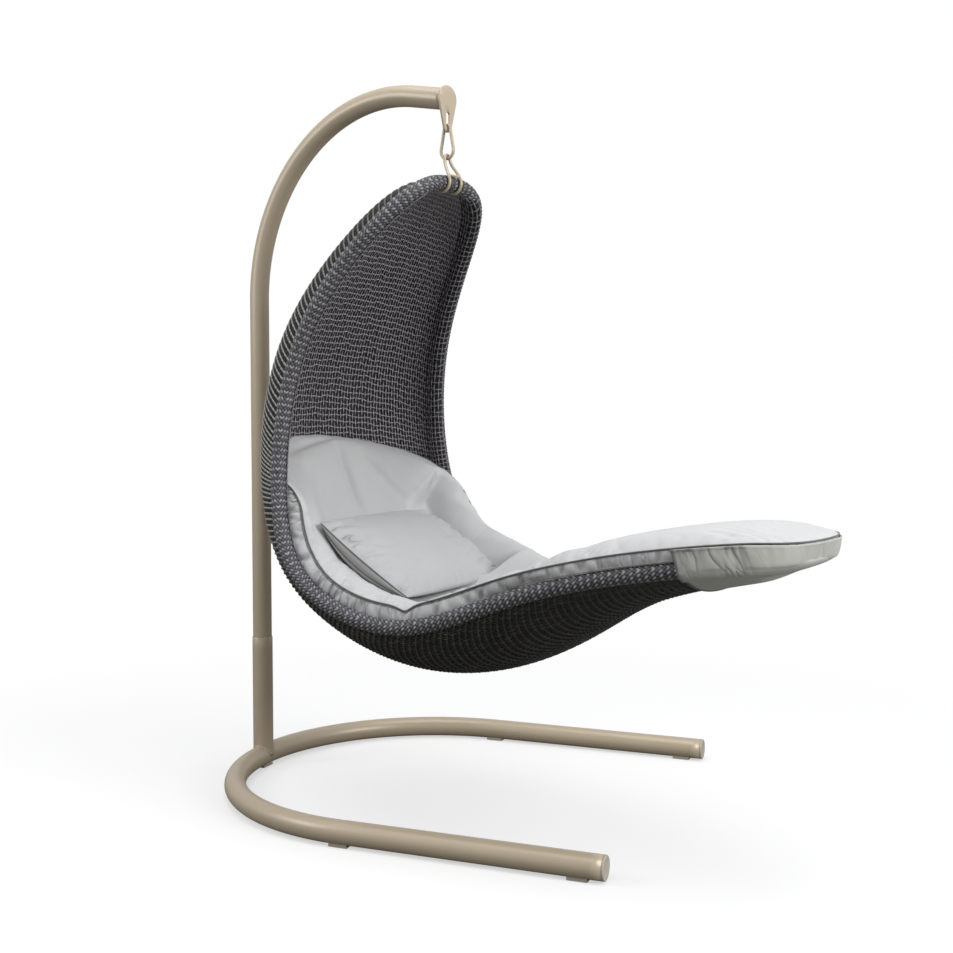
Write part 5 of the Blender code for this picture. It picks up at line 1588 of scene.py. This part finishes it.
def sleeve_wall(rows, extra):
    """One face of the foot sleeve, edge to edge under the shell's foot: along the shell, round the rim's
    braid and up to the piping. Its gathers hang from the piping and die out towards the smooth end."""
    turn = np.linspace(-1.0, 1.0, 49) * SLEEVE_SPAN
    u = SLEEVE_HEM + (FOOT - SLEEVE_HEM) * np.linspace(0.0, 1.0, rows) ** 0.9
    stations, turns = np.broadcast_arrays(u[:, None], turn[None, :])
    place, out = SHELL.at(stations, turns), SHELL.normal(stations, turns)
    whole_rim = SHELL.rim(np.linspace(POCKET_START - 1, 2 * FOOT - POCKET_START + 1, 300))
    from_rim = np.linalg.norm(place[:, :, None] - whole_rim, axis=-1).min(-1)
    slim = 1 - 0.42 * step_up(u, *SLEEVE_SLIMS)
    bulge = (WRAP_RADIUS - SHELL_HALF) * np.exp(-((from_rim / 0.026) ** 2)) * slim[:, None]
    under = place + out * (SHELL_HALF + POCKET_CLEARANCE + bulge + extra)[..., None]
    outward, upward = SHELL.rim_frame(u)
    clear = (WRAP_RADIUS + POCKET_CLEARANCE) * slim + extra
    top = PAD_FOOT_OVERHANG + 0.004 + extra
    last = under[:, -1] - SHELL.rim(u)
    start = np.arctan2((last * upward).sum(-1), (last * outward).sum(-1))
    edges = []
    for share in np.linspace(1.0, 0.0, 9)[1:]:
        angle = (start * share)[:, None]
        edges.append(SHELL.rim(u) + clear[:, None] * (outward * np.cos(angle) + upward * np.sin(angle)))
    smooth = 1 - 0.75 * step_up(u, *SLEEVE_SMOOTHS)
    along = run_length(SHELL.rim(u), 0)
    for share in np.linspace(0.0, 1.0, 13)[1:]:
        lean = clear + (top - clear) * share**2
        height = (pad_rise(u) - 0.001) * share
        fold = gathers(along, pad_rise(u) - height, *SLEEVE_FOLDS, seed=44.0)
        fold = SLEEVE_GATHER * smooth * fold * (1 - share**6)
        edges.append(SHELL.rim(u) + outward * (lean + 0.003 - fold)[:, None] + upward * height[:, None])
    right = np.stack(edges, 1)
    wall = np.concatenate([right[:, ::-1] * (1, -1, 1), under, right], 1)
    below = np.clip((SHELL.rim(u)[:, None, 2] - wall[..., 2]) / 0.05, 0.0, 1.0)
    wall[..., 0] -= SLEEVE_RAKE * step_up(u, *SLEEVE_RAKES)[:, None] * below**1.6
    wall[-1, 12:-12] = right[-1, 7]
    wall[-1, :, 1] = 0.0
    return wall


def build_sleeve():
    """The sleeve sewn under the pad's end, with a dark bound hem at its mouth."""
    rows = SLEEVE_ROWS
    outer, inner = sleeve_wall(rows, POCKET_THICKNESS), sleeve_wall(rows, 0.0)
    columns = outer.shape[1]
    lean = np.abs(np.linspace(-1.0, 1.0, columns)) ** 2 * SLEEVE_HEM_LEAN
    fade = (1 - np.linspace(0.0, 1.0, rows)) ** 3
    for wall in (outer, inner):
        back = unit(wall[0] - wall[3])
        wall += back[None] * (lean[None, :] * fade[:, None])[..., None]
    points = hung(np.concatenate([outer.reshape(-1, 3), inner.reshape(-1, 3)]))
    lie = np.stack([run_length(outer, 0), run_length(outer, 1), np.zeros((rows, columns))], -1)
    from_top = np.minimum(lie[..., 1], lie[:, -1:, 1] - lie[..., 1])
    drawn = 1.5 * (1 - 0.7 * step_up(np.linspace(0.0, 1.0, rows)[:, None], 0.2, 0.6))
    seam = np.stack(np.broadcast_arrays(lie[..., 0] + 30.0, from_top, drawn)).reshape(3, -1)
    facts = {"lie": np.concatenate([lie.reshape(-1, 3)] * 2), **seam_facts(*np.tile(seam, 2))}
    corners, chart = double_sheet(rows, columns)
    nodes = ["foot_pocket"]
    made = piece(
        "foot_sleeve", points, [corners], [SLEEVE_SHADED_CLOTH], "chair", nodes, chart, facts
    )
    piping("sleeve_hem", points[:columns], unit(points[0] - points[columns]), 8)


build_base()
build_arm()
build_weave()
build_rim()
build_pad()
build_pillow()
build_sleeve()


# The floor, the light and the camera


def build_stage():
    """A pale floor that keeps the shadow, a white surround and soft lamps above and beside the camera."""
    finish = Recipe("pale_floor", Roughness=0.85, Base_Color=rgb(0.90, 0.90, 0.90))
    spot = finish.node("VectorMath", {"operation": "DISTANCE"}, {0: finish.place(), 1: FLOOR_SPOT}, 1)
    glow = finish.node("Emission", None, {"Color": WHITE})
    pale = Value(finish, finish.shader.outputs[0])
    fade = finish.smooth(spot, *FLOOR_FADES, 0.55, 1.0)
    lit = finish.node("MixShader", None, {0: fade, 1: pale, 2: glow})
    dull = finish.node("BsdfDiffuse", None, {"Color": rgb(0.20, 0.20, 0.18)})
    finish.surface("Material Output", finish.for_camera(dull, lit))
    mesh = bpy.data.meshes.new("floor")
    ring = circle(FLOOR_RADIUS, FLOOR_SIDES) + FLOOR_CENTRE
    ring = np.column_stack([ring, np.zeros(FLOOR_SIDES)])
    mesh.from_pydata(ring.tolist(), [], [list(range(FLOOR_SIDES))])
    mesh.materials.append(finish.material)
    floor = bpy.data.objects.new("floor", mesh)
    bpy.context.scene.collection.objects.link(floor)

    world = bpy.data.worlds.new("studio")
    bpy.context.scene.world = world
    world.use_nodes = True
    studio = Nodes(world.node_tree)
    light = studio.tree.nodes["Background"]
    light.inputs["Color"].default_value = rgb(0.97, 0.98, 1.0)
    light.inputs["Strength"].default_value = 0.55
    seen = studio.node("Background", None, {"Color": WHITE, "Strength": 1.0})
    studio.surface("World Output", studio.for_camera(Value(studio, light.outputs[0]), seen))

    # Place, target, size and power
    lamps = (
        ("lamp_over", (0.6, -0.8, 4.4), (0.7, -0.2, 0.9), 3.6, 82.0),
        ("lamp_left", (-2.6, -2.6, 2.6), (0.4, -0.2, 1.0), 2.0, 54.0),
        ("lamp_front", (4.6, -1.3, 2.4), (0.3, -0.1, 0.9), 2.4, 145.0),
    )
    for name, place, target, size, power in lamps:
        data = bpy.data.lights.new(name, "AREA")
        data.shape = "DISK"
        data.size = size
        data.energy = power
        lamp = bpy.data.objects.new(name, data)
        bpy.context.scene.collection.objects.link(lamp)
        away = np.array(place) - np.array(target)
        lamp.location = place
        tilt = math.acos(away[2] / np.linalg.norm(away))
        lamp.rotation_euler = (tilt, 0.0, math.atan2(away[0], -away[1]))

    data = bpy.data.cameras.new("camera")
    data.sensor_width = CAMERA_SENSOR
    data.lens = CAMERA_LENS
    camera = bpy.data.objects.new("camera", data)
    camera.location = CAMERA_PLACE
    camera.rotation_euler = CAMERA_TURN
    bpy.context.scene.collection.objects.link(camera)
    bpy.context.scene.camera = camera
    bpy.context.scene.view_settings.view_transform = "Standard"


build_stage()

for name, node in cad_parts.items():
    finish = PLASTIC if name.startswith("glide") else ALUMINIUM if name.startswith("frame_") else PAINT
    node.data.materials.clear()
    node.data.materials.append(finish)
